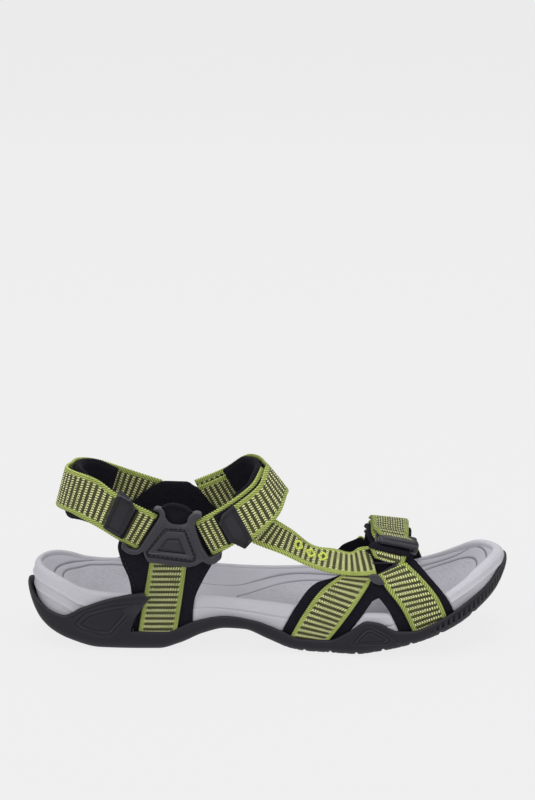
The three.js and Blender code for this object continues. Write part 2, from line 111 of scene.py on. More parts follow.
# ------------------------------------------------------------------ strap routes: (lower edge, upper edge)
HEEL_LOOP = [
    ((-75, -39.9, 63.5), (-62, -39.9, 85)), ((-88, -39.3, 70.5), (-77, -39.5, 92.4)),
    ((-98, -36.6, 76), (-89, -37.2, 98)), ((-108, -31.6, 80), (-100.5, -32, 102.3)),
    ((-116.5, -24, 82), (-110, -24, 104)), ((-121.5, -13, 82), (-115.5, -13, 104.3)),
    ((-123.5, 0, 81), (-117.5, 0, 103.3)), ((-121.5, 13, 78.5), (-115.5, 13, 101)),
    ((-115.5, 24, 75), (-109, 24, 97.5)), ((-106.5, 31.5, 70.5), (-99.5, 31.5, 93)),
    ((-94, 36.3, 66), (-86.5, 36.3, 88.5)), ((-76, 38, 60), (-65, 38, 81))]
ANKLE_LOOP = [
    ((-32, -39.9, 60.3), (-43, -39.9, 82)), ((-19, -40, 68), (-29.5, -39.9, 89.6)),
    ((-7.5, -37, 75.5), (-18.5, -36, 96)), ((2, -30.5, 82.5), (-9.5, -29, 101.5)),
    ((7, -20.5, 87.5), (-5.5, -19, 105)), ((9.2, -8, 90), (-3.6, -7, 106.5)),
    ((8.8, 7, 90), (-4, 7, 106)), ((5, 20, 86.5), (-7, 19, 103)),
    ((-2.5, 30, 81), (-13.5, 28.5, 98.5)), ((-15, 36.6, 70), (-25.5, 35.6, 88.5)),
    ((-33, 38.2, 58.5), (-44, 38.2, 79.5))]
INSTEP = [
    ((-20, -36.6, 75), (-7, -30.2, 89.5)),
    ((-8.8, -35, 67), (3.8, -27.5, 80)), ((9, -36.4, 60.2), (14.5, -22.5, 71)),
    ((24, -37.4, 53.4), (27.5, -20.5, 60.2)), ((37, -38.6, 49.6), (40, -20.8, 58.2)),
    ((50, -39.6, 48.2), (49.5, -22, 56.4)), ((58, -40, 48.2), (54.6, -24, 60.2)),
    ((64.4, -40, 49.2), (60.4, -25.5, 61.6))]
SIDE_STRAP = [
    ((-69, -39.5, 59.5), (-47, -39.5, 59.5)), ((-71.2, -38.2, 46), (-48.8, -38.2, 46)),
    ((-74, -36.1, 30), (-51, -36.1, 30)), ((-77.5, -35.6, 8), (-54.5, -35.6, 8))]
HUB_LINING = [
    ((-64, -37.1, 90.5), (-49, -37.1, 90)), ((-71, -37.1, 87), (-43, -37.1, 85.5)),
    ((-80, -37.1, 79), (-36.5, -37.1, 77)), ((-88, -37.1, 67), (-29.5, -37.1, 65)),
    ((-86.5, -37.1, 57), (-31.5, -37.1, 57)), ((-82, -35.6, 44), (-38, -35.6, 44)),
    ((-80.5, -33.7, 30), (-43.5, -33.7, 30)), ((-80, -33.2, 8), (-45, -33.2, 8))]
OUTER_REAR_LEG = [
    ((45, -36.2, 48.4), (64.5, -37.6, 49.0)), ((31.5, -40, 39), (53, -43, 32)),
    ((21.5, -39.8, 24.5), (43.5, -43.2, 18)), ((12.5, -38, 7), (34.5, -41.6, 5.5))]
OUTER_FRONT_LEG = [
    ((65, -38.6, 48.3), (82, -33.4, 54.3)), ((69.5, -41.8, 41.5), (91, -37.7, 45)),
    ((79, -44.0, 29), (100.5, -39.4, 33)), ((87, -43.4, 12), (107.5, -37.2, 18.5))]
INNER_REAR_LEG = [
    ((57, 35.5, 46.5), (69, 39.5, 40.5)), ((49, 38.9, 36), (68, 42.5, 29.5)),
    ((39, 40.5, 24.5), (60, 44.5, 18)), ((30, 40, 7), (51, 44.2, 5.5))]
INNER_FRONT_LEG = [
    ((69.5, 38.5, 46.5), (81.5, 34.8, 50.4)), ((72.5, 41.5, 41), (89, 38.5, 44)),
    ((77, 44.6, 29), (96, 42.5, 31)), ((80, 45.2, 11), (99, 42, 15))]
TOE_STRAP = [
    ((63.2, -34.6, 57.4), (80.0, -34.0, 51.0)), ((61.0, -32.6, 62.4), (82.2, -32.0, 57.0)),
    ((64.2, -27, 62.2), (82.6, -27, 57.8)), ((64.6, -20, 62.6), (82.8, -20, 58.9)),
    ((62.4, -10, 64.6), (84, -10, 61)), ((62.6, 3, 65), (85, 3, 62)), ((62.6, 16, 63), (85.5, 16, 60.5)),
    ((62, 27, 58.2), (84.5, 27, 56)), ((63.5, 31.5, 55.3), (82.5, 31.2, 54))]


# ------------------------------------------------------------------ curves
def smooth_table(table):
    """Smooth curve through a table of (x, value) that never overshoots and keeps level stretches level."""
    x, value = np.array(table, float).T
    width = np.diff(x)
    step = np.diff(value) / width
    slope = np.concatenate([[step[0]], np.zeros(len(x) - 2), [step[-1]]])
    same = step[:-1] * step[1:] > 0
    slope[1:-1][same] = 2 * step[:-1][same] * step[1:][same] / (step[:-1] + step[1:])[same]

    def at(where):
        where = np.asarray(where, float)
        i = np.clip(np.searchsorted(x, where) - 1, 0, len(width) - 1)
        t = np.clip((where - x[i]) / width[i], 0, 1)
        rise = t * t * (3 - 2 * t)
        lead = t * (1 - t) ** 2 * slope[i] - t * t * (1 - t) * slope[i + 1]
        return value[i] * (1 - rise) + value[i + 1] * rise + lead * width[i]
    return at


ground = smooth_table(GROUND)
wrap_top = smooth_table(WRAP_TOP)
rim_top = smooth_table(RIM_TOP)


def spline(points, t, closed=False):
    """Centripetal Catmull-Rom curve through the points, at t from 0 to 1."""
    points = np.asarray(points, float)
    spans = len(points) if closed else len(points) - 1
    place = np.atleast_1d(np.asarray(t, float)) * spans
    i = np.clip(np.floor(place).astype(int), 0, spans - 1)
    w = (place - i)[:, None]
    if closed:
        p0, p1, p2, p3 = (points[(i + k) % len(points)] for k in (-1, 0, 1, 2))
    else:
        ends = np.vstack([2 * points[0] - points[1], points, 2 * points[-1] - points[-2]])
        p0, p1, p2, p3 = (ends[i + k] for k in (0, 1, 2, 3))
    d0, d1, d2 = (np.maximum(np.sum((b - a) ** 2, axis=1, keepdims=True) ** 0.25, 1e-4)
                  for a, b in ((p0, p1), (p1, p2), (p2, p3)))
    m1 = ((p1 - p0) / d0 - (p2 - p0) / (d0 + d1) + (p2 - p1) / d1) * d1
    m2 = ((p2 - p1) / d1 - (p3 - p1) / (d1 + d2) + (p3 - p2) / d2) * d1
    return ((2 * w ** 3 - 3 * w ** 2 + 1) * p1 + (w ** 3 - 2 * w ** 2 + w) * m1
            + (3 * w ** 2 - 2 * w ** 3) * p2 + (w ** 3 - w ** 2) * m2)


def unit(vectors):
    """Vectors of length 1 in the same directions."""
    return vectors / np.maximum(np.linalg.norm(vectors, axis=-1, keepdims=True), 1e-9)


def smoothstep(low, high, x):
    """0 at low and 1 at high, with a smooth rise between them. Falls where low is above high."""
    t = np.clip((np.asarray(x, float) - low) / (high - low), 0, 1)
    return t * t * (3 - 2 * t)


def resample(points, count, closed=False):
    """The same line with `count` points at even spacing."""
    points = np.asarray(points, float)
    if closed:
        points = np.vstack([points, points[:1]])
    length = np.concatenate([[0], np.cumsum(np.linalg.norm(np.diff(points, axis=0), axis=1))])
    at = np.linspace(0, length[-1], count, endpoint=not closed)
    return np.stack([np.interp(at, length, points[:, k]) for k in range(points.shape[1])], axis=1)


def distance_to_line(points, line, closed=False):
    """Shortest distance from each 2-D point to a polyline."""
    points, line = np.asarray(points, float), np.asarray(line, float)
    if closed:
        line = np.vstack([line, line[:1]])
    best = np.full(len(points), 1e9)
    for a, b in zip(line[:-1], line[1:]):
        edge = b - a
        t = np.clip(((points - a) @ edge) / max(edge @ edge, 1e-9), 0, 1)
        best = np.minimum(best, np.linalg.norm(points - a - t[:, None] * edge, axis=1))
    return best


def inside(points, loop):
    """Which 2-D points lie inside a closed loop."""
    x, y = np.asarray(points, float).T
    hit = np.zeros(len(x), bool)
    loop = np.asarray(loop, float)
    for (ax, ay), (bx, by) in zip(loop, np.roll(loop, -1, axis=0)):
        cross = (ay > y) != (by > y)
        hit ^= cross & (x < (bx - ax) * (y - ay) / np.where(by == ay, 1e-9, by - ay) + ax)
    return hit


# ------------------------------------------------------------------ meshes
def mesh_object(name, points, faces, material, weave=None, smooth=True):
    """A mesh object from points in millimetres. `weave` is (along, across, from the edge) for each point."""
    mesh = bpy.data.meshes.new(name)
    mesh.from_pydata((np.asarray(points, float) * MM).tolist(), [], [list(map(int, f)) for f in faces])
    mesh.validate()
    if smooth:
        smooth_shaded(mesh)
    if weave is not None:
        layer = mesh.attributes.new("weave", "FLOAT_VECTOR", "POINT")
        layer.data.foreach_set("vector", np.asarray(weave, np.float32).ravel())
    piece = bpy.data.objects.new(name, mesh)
    bpy.context.scene.collection.objects.link(piece)
    mesh.materials.append(material)
    return piece


def smooth_shaded(mesh):
    """Shades every face of a mesh smooth."""
    mesh.polygons.foreach_set("use_smooth", [True] * len(mesh.polygons))


def face_out(piece):
    """Turns every face of a closed mesh outwards."""
    work = bmesh.new()
    work.from_mesh(piece.data)
    bmesh.ops.recalc_face_normals(work, faces=work.faces)
    work.to_mesh(piece.data)
    work.free()
    return piece


def grid_faces(rows, columns, wrap=False):
    """Quads of a grid of points, stored row by row."""
    last = columns if wrap else columns - 1
    r, c = np.meshgrid(np.arange(rows - 1), np.arange(last), indexing="ij")
    n = (c + 1) % columns
    return np.stack([r * columns + c, r * columns + n, (r + 1) * columns + n, (r + 1) * columns + c],
                    axis=-1).reshape(-1, 4)


def ladder(first, count, flip=False):
    """Faces that close a ring of `count` points, which starts at one end of a long shape."""
    faces = []
    for i in range(count // 2 - 1):
        quad = [i, i + 1, (count - 2 - i) % count, (count - 1 - i) % count]
        faces.append([first + k for k in (quad[::-1] if flip else quad)])
    return faces


def joined(name, pieces):
    """One object from several."""
    bpy.ops.object.select_all(action="DESELECT")
    for piece in pieces:
        piece.select_set(True)
    bpy.context.view_layer.objects.active = pieces[0]
    bpy.ops.object.join()
    pieces[0].name = name
    return pieces[0]


def applied(piece):
    """The same object with its modifiers applied."""
    graph = bpy.context.evaluated_depsgraph_get()
    mesh = bpy.data.meshes.new_from_object(piece.evaluated_get(graph))
    piece.modifiers.clear()
    piece.data = mesh
    return piece


def finish_piece(piece, body, slot, *nodes):
    """Rides on a body and stands for CAD nodes. Its slot is not used."""
    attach(piece, body)
    if nodes:
        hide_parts(*nodes)
    return piece


# ------------------------------------------------------------------ materials
def srgb(red, green, blue):
    """An 8-bit screen colour as a linear one."""
    linear = [c / 12.92 if c <= 0.04045 else ((c + 0.055) / 1.055) ** 2.4
              for c in (red / 255, green / 255, blue / 255)]
    return (*linear, 1)


class Shader:
    """A material whose nodes are added by short calls."""

    def __init__(self, name, roughness, **sockets):
        self.material = bpy.data.materials.new(name)
        self.material.use_nodes = True
        self.tree = self.material.node_tree
        self.surface = self.tree.nodes["Principled BSDF"]
        self.surface.inputs["Roughness"].default_value = roughness
        for socket, value in sockets.items():
            self.surface.inputs[socket.replace("_", " ")].default_value = value

    def node(self, kind, inputs=(), **settings):
        made = self.tree.nodes.new(kind)
        for key, value in settings.items():
            setattr(made, key, value)
        for socket, value in dict(inputs).items():
            self.feed(made.inputs[socket], value)
        return made

    def feed(self, socket, value):
        if hasattr(value, "is_linked") or isinstance(value, bpy.types.NodeSocket):
            self.tree.links.new(value, socket)
        else:
            socket.default_value = value

    def math(self, operation, a, b=0.0, c=0.0):
        made = self.tree.nodes.new("ShaderNodeMath")
        made.operation = operation
        for socket, value in zip(made.inputs, (a, b, c)):
            self.feed(socket, value)
        return made.outputs[0]

    def times(self, a, b):
        return self.math("MULTIPLY", a, b)

    def plus(self, a, b):
        return self.math("ADD", a, b)

    def off(self, value, centre):
        """How far a value is from a centre, either way."""
        return self.math("ABSOLUTE", self.math("SUBTRACT", value, centre))

    def step(self, value, low, high):
        made = self.node("ShaderNodeMapRange", {"Value": value, "From Min": low, "From Max": high},
                         interpolation_type="SMOOTHSTEP")
        return made.outputs["Result"]

    def mix(self, factor, a, b):
        made = self.tree.nodes.new("ShaderNodeMix")
        made.data_type = "RGBA"
        self.feed(made.inputs[0], factor)
        self.feed(made.inputs[6], a)
        self.feed(made.inputs[7], b)
        return made.outputs[2]

    def place(self):
        return self.node("ShaderNodeTexCoord").outputs["Object"]

    def noise(self, scale, detail=3.0):
        made = self.node("ShaderNodeTexNoise", {"Scale": scale, "Detail": detail, "Roughness": 0.55,
                                                "Vector": self.place()})
        return made.outputs["Fac"]

    def cells(self, scale):
        return self.node("ShaderNodeTexVoronoi", {"Scale": scale, "Vector": self.place()}).outputs["Distance"]

    def colour(self, value):
        self.feed(self.surface.inputs["Base Color"], value)

    def rough(self, value):
        self.feed(self.surface.inputs["Roughness"], value)

    def bump(self, height, strength, distance):
        made = self.node("ShaderNodeBump", {"Height": height, "Strength": strength,
                                            "Distance": distance * MM})
        self.tree.links.new(made.outputs["Normal"], self.surface.inputs["Normal"])

    def weave(self):
        """The three numbers that each point carries in its weave attribute."""
        found = self.node("ShaderNodeAttribute", attribute_name="weave")
        return self.node("ShaderNodeSeparateXYZ", {"Vector": found.outputs["Vector"]}).outputs


def webbing_material(name, shade):
    """Lime webbing: plaited selvedges with painted highlight and shade along the plait, and dark rows between
    rows of pale stitches whose paleness is partly painted highlight. `shade` darkens it: the webbing's own
    tone, plus painted shade on the copies for straps that the lamps light more.
    """
    s = Shader(name, 0.78, Specular_IOR_Level=0.25, Sheen_Weight=0.08, Sheen_Roughness=0.5)
    along, across, edge = s.weave()
    fibre = s.noise(2600, 2.0)
    uneven = s.times(s.math("SUBTRACT", s.noise(700, 1.0), 0.5), 0.16)
    row = s.math("FRACT", s.plus(s.math("DIVIDE", along, RIB_PITCH), uneven))
    column = s.math("DIVIDE", across, DOT_PITCH)

    def stitch_row(centre, reach, phase):
        near_row = s.step(s.off(row, centre), reach, reach * 0.6)
        at = s.math("FRACT", s.plus(column, phase))
        stitch = s.step(s.off(at, 0.5), 0.3, 0.22)
        return s.times(near_row, stitch)
    first, second = stitch_row(0.22, 0.22, 0.0), stitch_row(0.46, 0.12, 0.3)
    raised = s.times(s.step(row, 0.0, 0.06), s.step(row, 0.58, 0.5))
    yarn = s.step(s.off(s.math("FRACT", column), 0.5), 0.45, 0.15)
    dark = s.mix(fibre, srgb(34, 32, 24), srgb(70, 66, 48))
    dark = s.mix(s.times(yarn, 0.35), dark, srgb(92, 96, 50))
    thread = s.mix(fibre, srgb(18, 21, 10), srgb(44, 50, 22))
    field = s.mix(raised, dark, thread)
    # Pale stitch rows: lime yarn, made paler by a painted highlight on the raised loops.
    field = s.mix(second, field, s.mix(fibre, srgb(206, 218, 108), srgb(246, 250, 176)))
    field = s.mix(first, field, s.mix(fibre, srgb(236, 242, 140), srgb(255, 255, 214)))
    # Light and dark bands along the plait: painted highlight and shade on the braid of the lime selvedge.
    plait = s.plus(s.math("DIVIDE", along, RIB_PITCH / 2), s.math("DIVIDE", across, 1.5))
    plait = s.off(s.math("FRACT", plait), 0.5)
    border = s.mix(s.step(plait, 0.14, 0.36), srgb(96, 112, 40), srgb(206, 218, 124))
    border = s.mix(s.times(fibre, 0.5), border, srgb(146, 160, 72))
    plain = s.step(edge, SELVEDGE + 0.25, SELVEDGE - 0.25)
    colour = s.mix(plain, field, border)
    patch = s.step(s.noise(120, 3.0), 0.45, 0.75)
    colour = s.mix(s.times(patch, 0.3), colour, srgb(92, 104, 46))
    # Darkens the whole colour: the webbing's own tone, and painted shade on the darker copies.
    s.colour(s.mix(shade, colour, srgb(36, 42, 20)))
    s.rough(s.plus(0.66, s.times(fibre, 0.25)))
    height = s.plus(s.times(s.math("MAXIMUM", first, second), 0.8), fibre)
    s.bump(s.plus(height, s.times(raised, 0.4)), 0.6, 0.16)
    return s.material


def rubber_material():
    """Black moulded rubber with a fine grain, slightly paler where it curves outwards."""
    s = Shader("rubber", 0.55, Specular_IOR_Level=0.22)
    grain = s.noise(1800, 3.0)
    broad = s.noise(38, 4.0)
    # Paler on the convex edges.
    convex_edge = s.step(s.node("ShaderNodeNewGeometry").outputs["Pointiness"], 0.5, 0.56)
    base = s.mix(broad, srgb(25, 24, 29), srgb(35, 34, 40))
    s.colour(s.mix(s.times(convex_edge, 0.4), base, srgb(70, 68, 76)))
    s.rough(s.plus(0.46, s.times(broad, 0.2)))
    s.bump(grain, 0.25, 0.08)
    return s.material


def foam_material(name, light, dark, pebbled):
    """Grey moulded foam. Its grooves carry painted shade, and its pebbled zones have a fine raised grain with
    painted shade in the low ground between the pebbles.
    """
    s = Shader(name, 0.7, Specular_IOR_Level=0.3)
    broad = s.noise(26, 3.0)
    speck = s.noise(900, 2.0)
    base = s.mix(broad, light, dark)
    base = s.mix(s.times(s.step(speck, 0.56, 0.7), 0.25), base, srgb(158, 156, 164))
    height = s.noise(2400, 2.0)
    if pebbled:
        groove, zone, _ = s.weave()
        pebble = s.cells(800)
        # Painted shade in the engraved grooves.
        base = s.mix(s.times(groove, 0.85), base, srgb(84, 82, 91))
        # Painted shade in the low ground between the pebbles.
        pebble_crevice = s.times(s.step(pebble, 0.45, 0.85), zone)
        base = s.mix(s.times(pebble_crevice, 0.3), base, srgb(132, 130, 139))
        height = s.math("SUBTRACT", height, s.times(s.times(pebble, zone), 3.0))
    s.colour(base)
    s.rough(s.plus(0.58, s.times(broad, 0.18)))
    s.bump(height, 0.3, 0.1)
    return s.material


def plastic_material(name, roughness, depth=0.0):
    """Charcoal moulded plastic with a fine spark-eroded grain and paler convex edges, a painted highlight.
    `depth` darkens it as painted shade and lowers its specular level.
    """
    s = Shader(name, roughness, Specular_IOR_Level=0.3 - 0.2 * depth)
    grain = s.noise(3200, 2.0)
    broad = s.noise(60, 3.0)
    # Paler convex edges: a painted highlight where light catches the ridges.
    convex_edge = s.step(s.node("ShaderNodeNewGeometry").outputs["Pointiness"], 0.5, 0.58)
    base = s.mix(broad, srgb(33, 32, 38), srgb(43, 41, 48))
    # Painted shade: the tab and buckle copies are darkened where the lamps catch them more.
    base = s.mix(depth, base, srgb(8, 8, 10))
    s.colour(s.mix(s.times(convex_edge, 0.45), base, srgb(112, 110, 118)))
    s.rough(s.plus(roughness, s.times(broad, 0.16)))
    s.bump(grain, 0.25, 0.05)
    return s.material


def neoprene_material():
    """Black knit-faced neoprene: small round knit cells and a soft sheen."""
    s = Shader("neoprene", 0.88, Specular_IOR_Level=0.04, Sheen_Weight=0.012, Sheen_Roughness=0.4)
    cell = s.cells(950)
    broad = s.noise(45, 3.0)
    base = s.mix(broad, srgb(13, 12, 17), srgb(22, 21, 27))
    s.colour(s.mix(s.times(s.step(cell, 0.25, 0.75), 0.5), srgb(30, 29, 36), base))
    s.rough(s.plus(0.8, s.times(broad, 0.15)))
    s.bump(cell, 0.5, 0.18)
    return s.material


def fastener_material():
    """Black hook and loop tape."""
    s = Shader("fastener", 0.95, Specular_IOR_Level=0.05, Sheen_Weight=0.03, Sheen_Roughness=0.6)
    fuzz = s.cells(1500)
    s.colour(s.mix(fuzz, srgb(10, 10, 12), srgb(38, 37, 41)))
    s.bump(fuzz, 0.8, 0.3)
    return s.material


def thread_material(name, low, high):
    """Twisted sewing thread."""
    s = Shader(name, 0.6, Specular_IOR_Level=0.2)
    s.colour(s.mix(s.noise(1400, 2.0), low, high))
    s.bump(s.noise(3000, 1.0), 0.4, 0.08)
    return s.material


def shank_material():
    """Grey-green moulded plate under the arch."""
    s = Shader("shank", 0.5, Specular_IOR_Level=0.25)
    broad = s.noise(50, 3.0)
    s.colour(s.mix(broad, srgb(96, 101, 86), srgb(126, 131, 112)))
    s.rough(s.plus(0.4, s.times(broad, 0.2)))
    s.bump(s.noise(2200, 2.0), 0.25, 0.06)
    return s.material


MAT = {
    # Webbing copies: the plain one is darkened only to its own tone; the tail and side copies are darkened
    # further by painted shade, for straps that the lamps light more.
    "webbing": webbing_material("webbing", 0.13),
    "tail": webbing_material("loose_webbing_painted_shade", 0.44),
    "side": webbing_material("side_webbing", 0.3),
    "rubber": rubber_material(),
    # The wall foam is a paler copy of the footbed foam: painted light on the walls, which the lamps leave
    # darker.
    "foam": foam_material("foam", srgb(191, 189, 196), srgb(180, 178, 186), False),
    "footbed": foam_material("footbed", srgb(186, 184, 193), srgb(174, 172, 181), True),
    "plastic": plastic_material("plastic", 0.36),
    # The gloss and tab copies of the plastic are darkened by painted shade.
    "gloss": plastic_material("gloss_plastic_painted_shade", 0.18, 0.35),
    "tab": plastic_material("tab_plastic_painted_shade", 0.55, 0.95),
    "neoprene": neoprene_material(),
    "fastener": fastener_material(),
    "shank": shank_material(),
    "black_thread": thread_material("black_thread", srgb(16, 15, 18), srgb(44, 42, 48)),
    "lime_thread": thread_material("lime_thread", srgb(196, 214, 70), srgb(233, 243, 120)),
}


# ------------------------------------------------------------------ straps
class Band:
    """A strip between two edge curves. `side` makes a positive offset face outwards."""

    def __init__(self, stations, side):
        self.low = np.array([s[0] for s in stations], float)
        self.high = np.array([s[1] for s in stations], float)
        self.side = side
        t = np.linspace(0, 1, 400)
        middle = (spline(self.low, t) + spline(self.high, t)) / 2
        steps = np.linalg.norm(np.diff(middle, axis=0), axis=1)
        self.t, self.run = t, np.concatenate([[0], np.cumsum(steps)])

    def length(self, start=0.0, end=1.0):
        return np.interp(end, self.t, self.run) - np.interp(start, self.t, self.run)

    def frame(self, t):
        """Middle, along, across, out and half width at each t."""
        t = np.atleast_1d(t)
        low, high = spline(self.low, t), spline(self.high, t)
        small = 1e-3
        ahead = spline(self.low, np.clip(t + small, 0, 1)) + spline(self.high, np.clip(t + small, 0, 1))
        behind = spline(self.low, np.clip(t - small, 0, 1)) + spline(self.high, np.clip(t - small, 0, 1))
        along = unit(ahead - behind)
        across = unit(high - low)
        out = unit(np.cross(across, along)) * self.side
        half = np.linalg.norm(high - low, axis=1) / 2
        return (low + high) / 2, along, across, out, half

    def point(self, t, v, w):
        """The point at t along, v millimetres from the middle towards the upper edge, w outwards."""
        middle, _, across, out, _ = self.frame(t)
        return middle + across * np.reshape(v, (-1, 1)) + out * np.reshape(w, (-1, 1))


def flat_relief(u, v, edge):
    """No relief."""
    return np.zeros_like(u)


def rib_relief(u, v, edge):
    """Raised rows of stitches between flat rows, inside plaited selvedges."""
    row = (u / RIB_PITCH) % 1
    raised = smoothstep(0.0, 0.12, row) * smoothstep(0.56, 0.42, row)
    dots = 0.5 - 0.5 * np.cos(2 * np.pi * (v / DOT_PITCH + (row > 0.4) * 0.3))
    field = 0.22 * raised + 0.22 * raised * dots
    plait = 0.2 + 0.14 * np.cos(2 * np.pi * (u / (RIB_PITCH / 2) + v / 1.5))
    plain = smoothstep(SELVEDGE + 0.4, SELVEDGE - 0.2, edge)
    return field * (1 - plain) + plait * plain


def seam_relief(u, v, edge):
    """Bound edge: a shallow sewn channel a little inside the edge."""
    channel = np.exp(-((edge - 2.3) / 0.55) ** 2)
    return -0.45 * channel


def as_function(value):
    """A function of t, from a function or a number."""
    return value if callable(value) else (lambda t: np.full(len(t), float(value)))


def ribbon(name, band, start, end, material, thickness=WEBBING, offset=0.0, widen=0.0, relief=rib_relief,
           step=0.5, columns=52, round_edge=None, puff=0.0, phase=0.0, shift=0.0):
    """A closed strip with rounded edges and real relief on both faces. `widen` may be a pair, for the lower
    and the upper edge, and `shift` moves the strip towards its upper edge."""
    rows = max(8, int(band.length(start, end) / step))
    t = np.interp(np.linspace(np.interp(start, band.t, band.run), np.interp(end, band.t, band.run), rows),
                  band.run, band.t)
    middle, along, across, out, half = band.frame(t)
    u = np.interp(t, band.t, band.run) + phase
    low, high = widen if isinstance(widen, tuple) else (widen, widen)
    low, high = as_function(low)(t), as_function(high)(t)
    middle = middle + across * (as_function(shift)(t) + (high - low) / 2)[:, None]
    half = half + (low + high) / 2
    lift = as_function(offset)(t)
    q = np.linspace(-1, 1, columns)
    q = np.sign(q) * (0.72 * np.abs(q) + 0.28 * np.abs(q) ** 0.5)
    q[0], q[-1] = -1, 1
    v = half[:, None] * q[None, :]
    edge = half[:, None] - np.abs(v)
    radius = round_edge or thickness * 0.6
    body = (thickness / 2) * np.sqrt(np.clip(1 - (np.maximum(0, radius - edge) / radius) ** 2, 0, 1))
    from_end = np.minimum(u - u[0], u[-1] - u)[:, None] * np.ones_like(v)
    body = body * np.sqrt(np.clip(1 - (np.maximum(0, radius - from_end) / radius) ** 2, 0.15, 1))
    body = body + puff * np.cos(np.pi / 2 * np.clip(np.abs(q), 0, 1))[None, :] * smoothstep(0, 4, from_end)
    uu = u[:, None] * np.ones_like(v)
    height = relief(uu, v, edge) * smoothstep(0, radius, edge) * smoothstep(0, 1.2, from_end)
    outer = lift[:, None] + body + height - 0.12
    inner = lift[:, None] - body - height * 0.6 + 0.08
    scallop = v + np.sign(v) * 0.2 * np.cos(4 * np.pi * uu / RIB_PITCH) * (relief is rib_relief)

    def sheet(w):
        return (middle[:, None, :] + across[:, None, :] * scallop[..., None]
                + out[:, None, :] * w[..., None])
    top, bottom = sheet(outer), sheet(inner)[:, ::-1]
    ring = np.concatenate([top, bottom[:, 1:-1]], axis=1)
    weave_top = np.stack([uu, v, edge], axis=-1)
    weave = np.concatenate([weave_top, weave_top[:, ::-1][:, 1:-1]], axis=1)
    around = ring.shape[1]
    faces = [list(f) for f in grid_faces(rows, around, wrap=True)]
    for first, flip in ((0, False), ((rows - 1) * around, True)):
        for i in range(columns - 1):
            a, b = i, i + 1
            c, d = (around - b) % around, (around - a) % around
            corners = list(dict.fromkeys([a, b, c, d]))
            if len(corners) >= 3:
                faces.append([first + k for k in (corners[::-1] if flip else corners)])
    return face_out(mesh_object(name, ring.reshape(-1, 3), faces, material, weave.reshape(-1, 3)))


def capsule(start, end, radius, normal, sides=6, rings=5):
    """Points and faces of one stitch: a thread that dips into the cloth at both ends."""
    start, end, normal = (np.asarray(p, float) for p in (start, end, normal))
    along = unit(end - start)
    across = np.cross(along, normal)
    points = []
    for k in range(rings):
        f = k / (rings - 1)
        swell = math.sin(math.pi * (0.08 + 0.84 * f))
        centre = start + (end - start) * f + normal * radius * (1.1 * swell - 0.55)
        for j in range(sides):
            angle = 2 * math.pi * j / sides
            reach = radius * (0.35 + 0.65 * swell)
            points.append(centre + reach * (math.cos(angle) * across + math.sin(angle) * normal))
    faces = [list(f) for f in grid_faces(rings, sides, wrap=True)]
    faces.append(list(range(sides))[::-1])
    faces.append([(rings - 1) * sides + j for j in range(sides)])
    return points, faces


def stitches(name, path, normals, material, length=2.2, gap=0.9, radius=0.27):
    """A row of stitches along a path of points, each with its normal."""
    path, normals = np.asarray(path, float), np.asarray(normals, float)
    run = np.concatenate([[0], np.cumsum(np.linalg.norm(np.diff(path, axis=0), axis=1))])
    points, faces = [], []
    count = max(1, int((run[-1] + gap) / (length + gap)))
    pitch = run[-1] / count

    def at(distance, rows):
        return np.array([np.interp(distance, run, rows[:, k]) for k in range(3)])
    for i in range(count):
        first, last = i * pitch, (i + 1) * pitch - gap
        made, skin = capsule(at(first, path), at(last, path), radius, unit(at((first + last) / 2, normals)))
        faces += [[k + len(points) for k in f] for f in skin]
        points += made
    return mesh_object(name, points, faces, material)


# ------------------------------------------------------------------ moulded plates
def rounded(loop, radius, steps=4):
    """A closed loop with its corners rounded."""
    loop = np.asarray(loop, float)
    made = []
    for before, corner, after in zip(np.roll(loop, 1, axis=0), loop, np.roll(loop, -1, axis=0)):
        a, b = before - corner, after - corner
        reach = min(radius, np.linalg.norm(a) * 0.45, np.linalg.norm(b) * 0.45)
        start, end = corner + unit(a) * reach, corner + unit(b) * reach
        for k in range(steps + 1):
            f = k / steps
            made.append((1 - f) ** 2 * start + 2 * f * (1 - f) * corner + f * f * end)
    return np.array(made)


def dense(loop, step=1.5):
    """A closed loop with extra points, so that a plate can follow a curved strap."""
    made = []
    for a, b in zip(loop, loop[1:] + loop[:1]):
        a, b = np.array(a, float), np.array(b, float)
        count = max(1, int(np.linalg.norm(b - a) / step))
        made += [tuple(a + (b - a) * k / count) for k in range(count)]
    return made


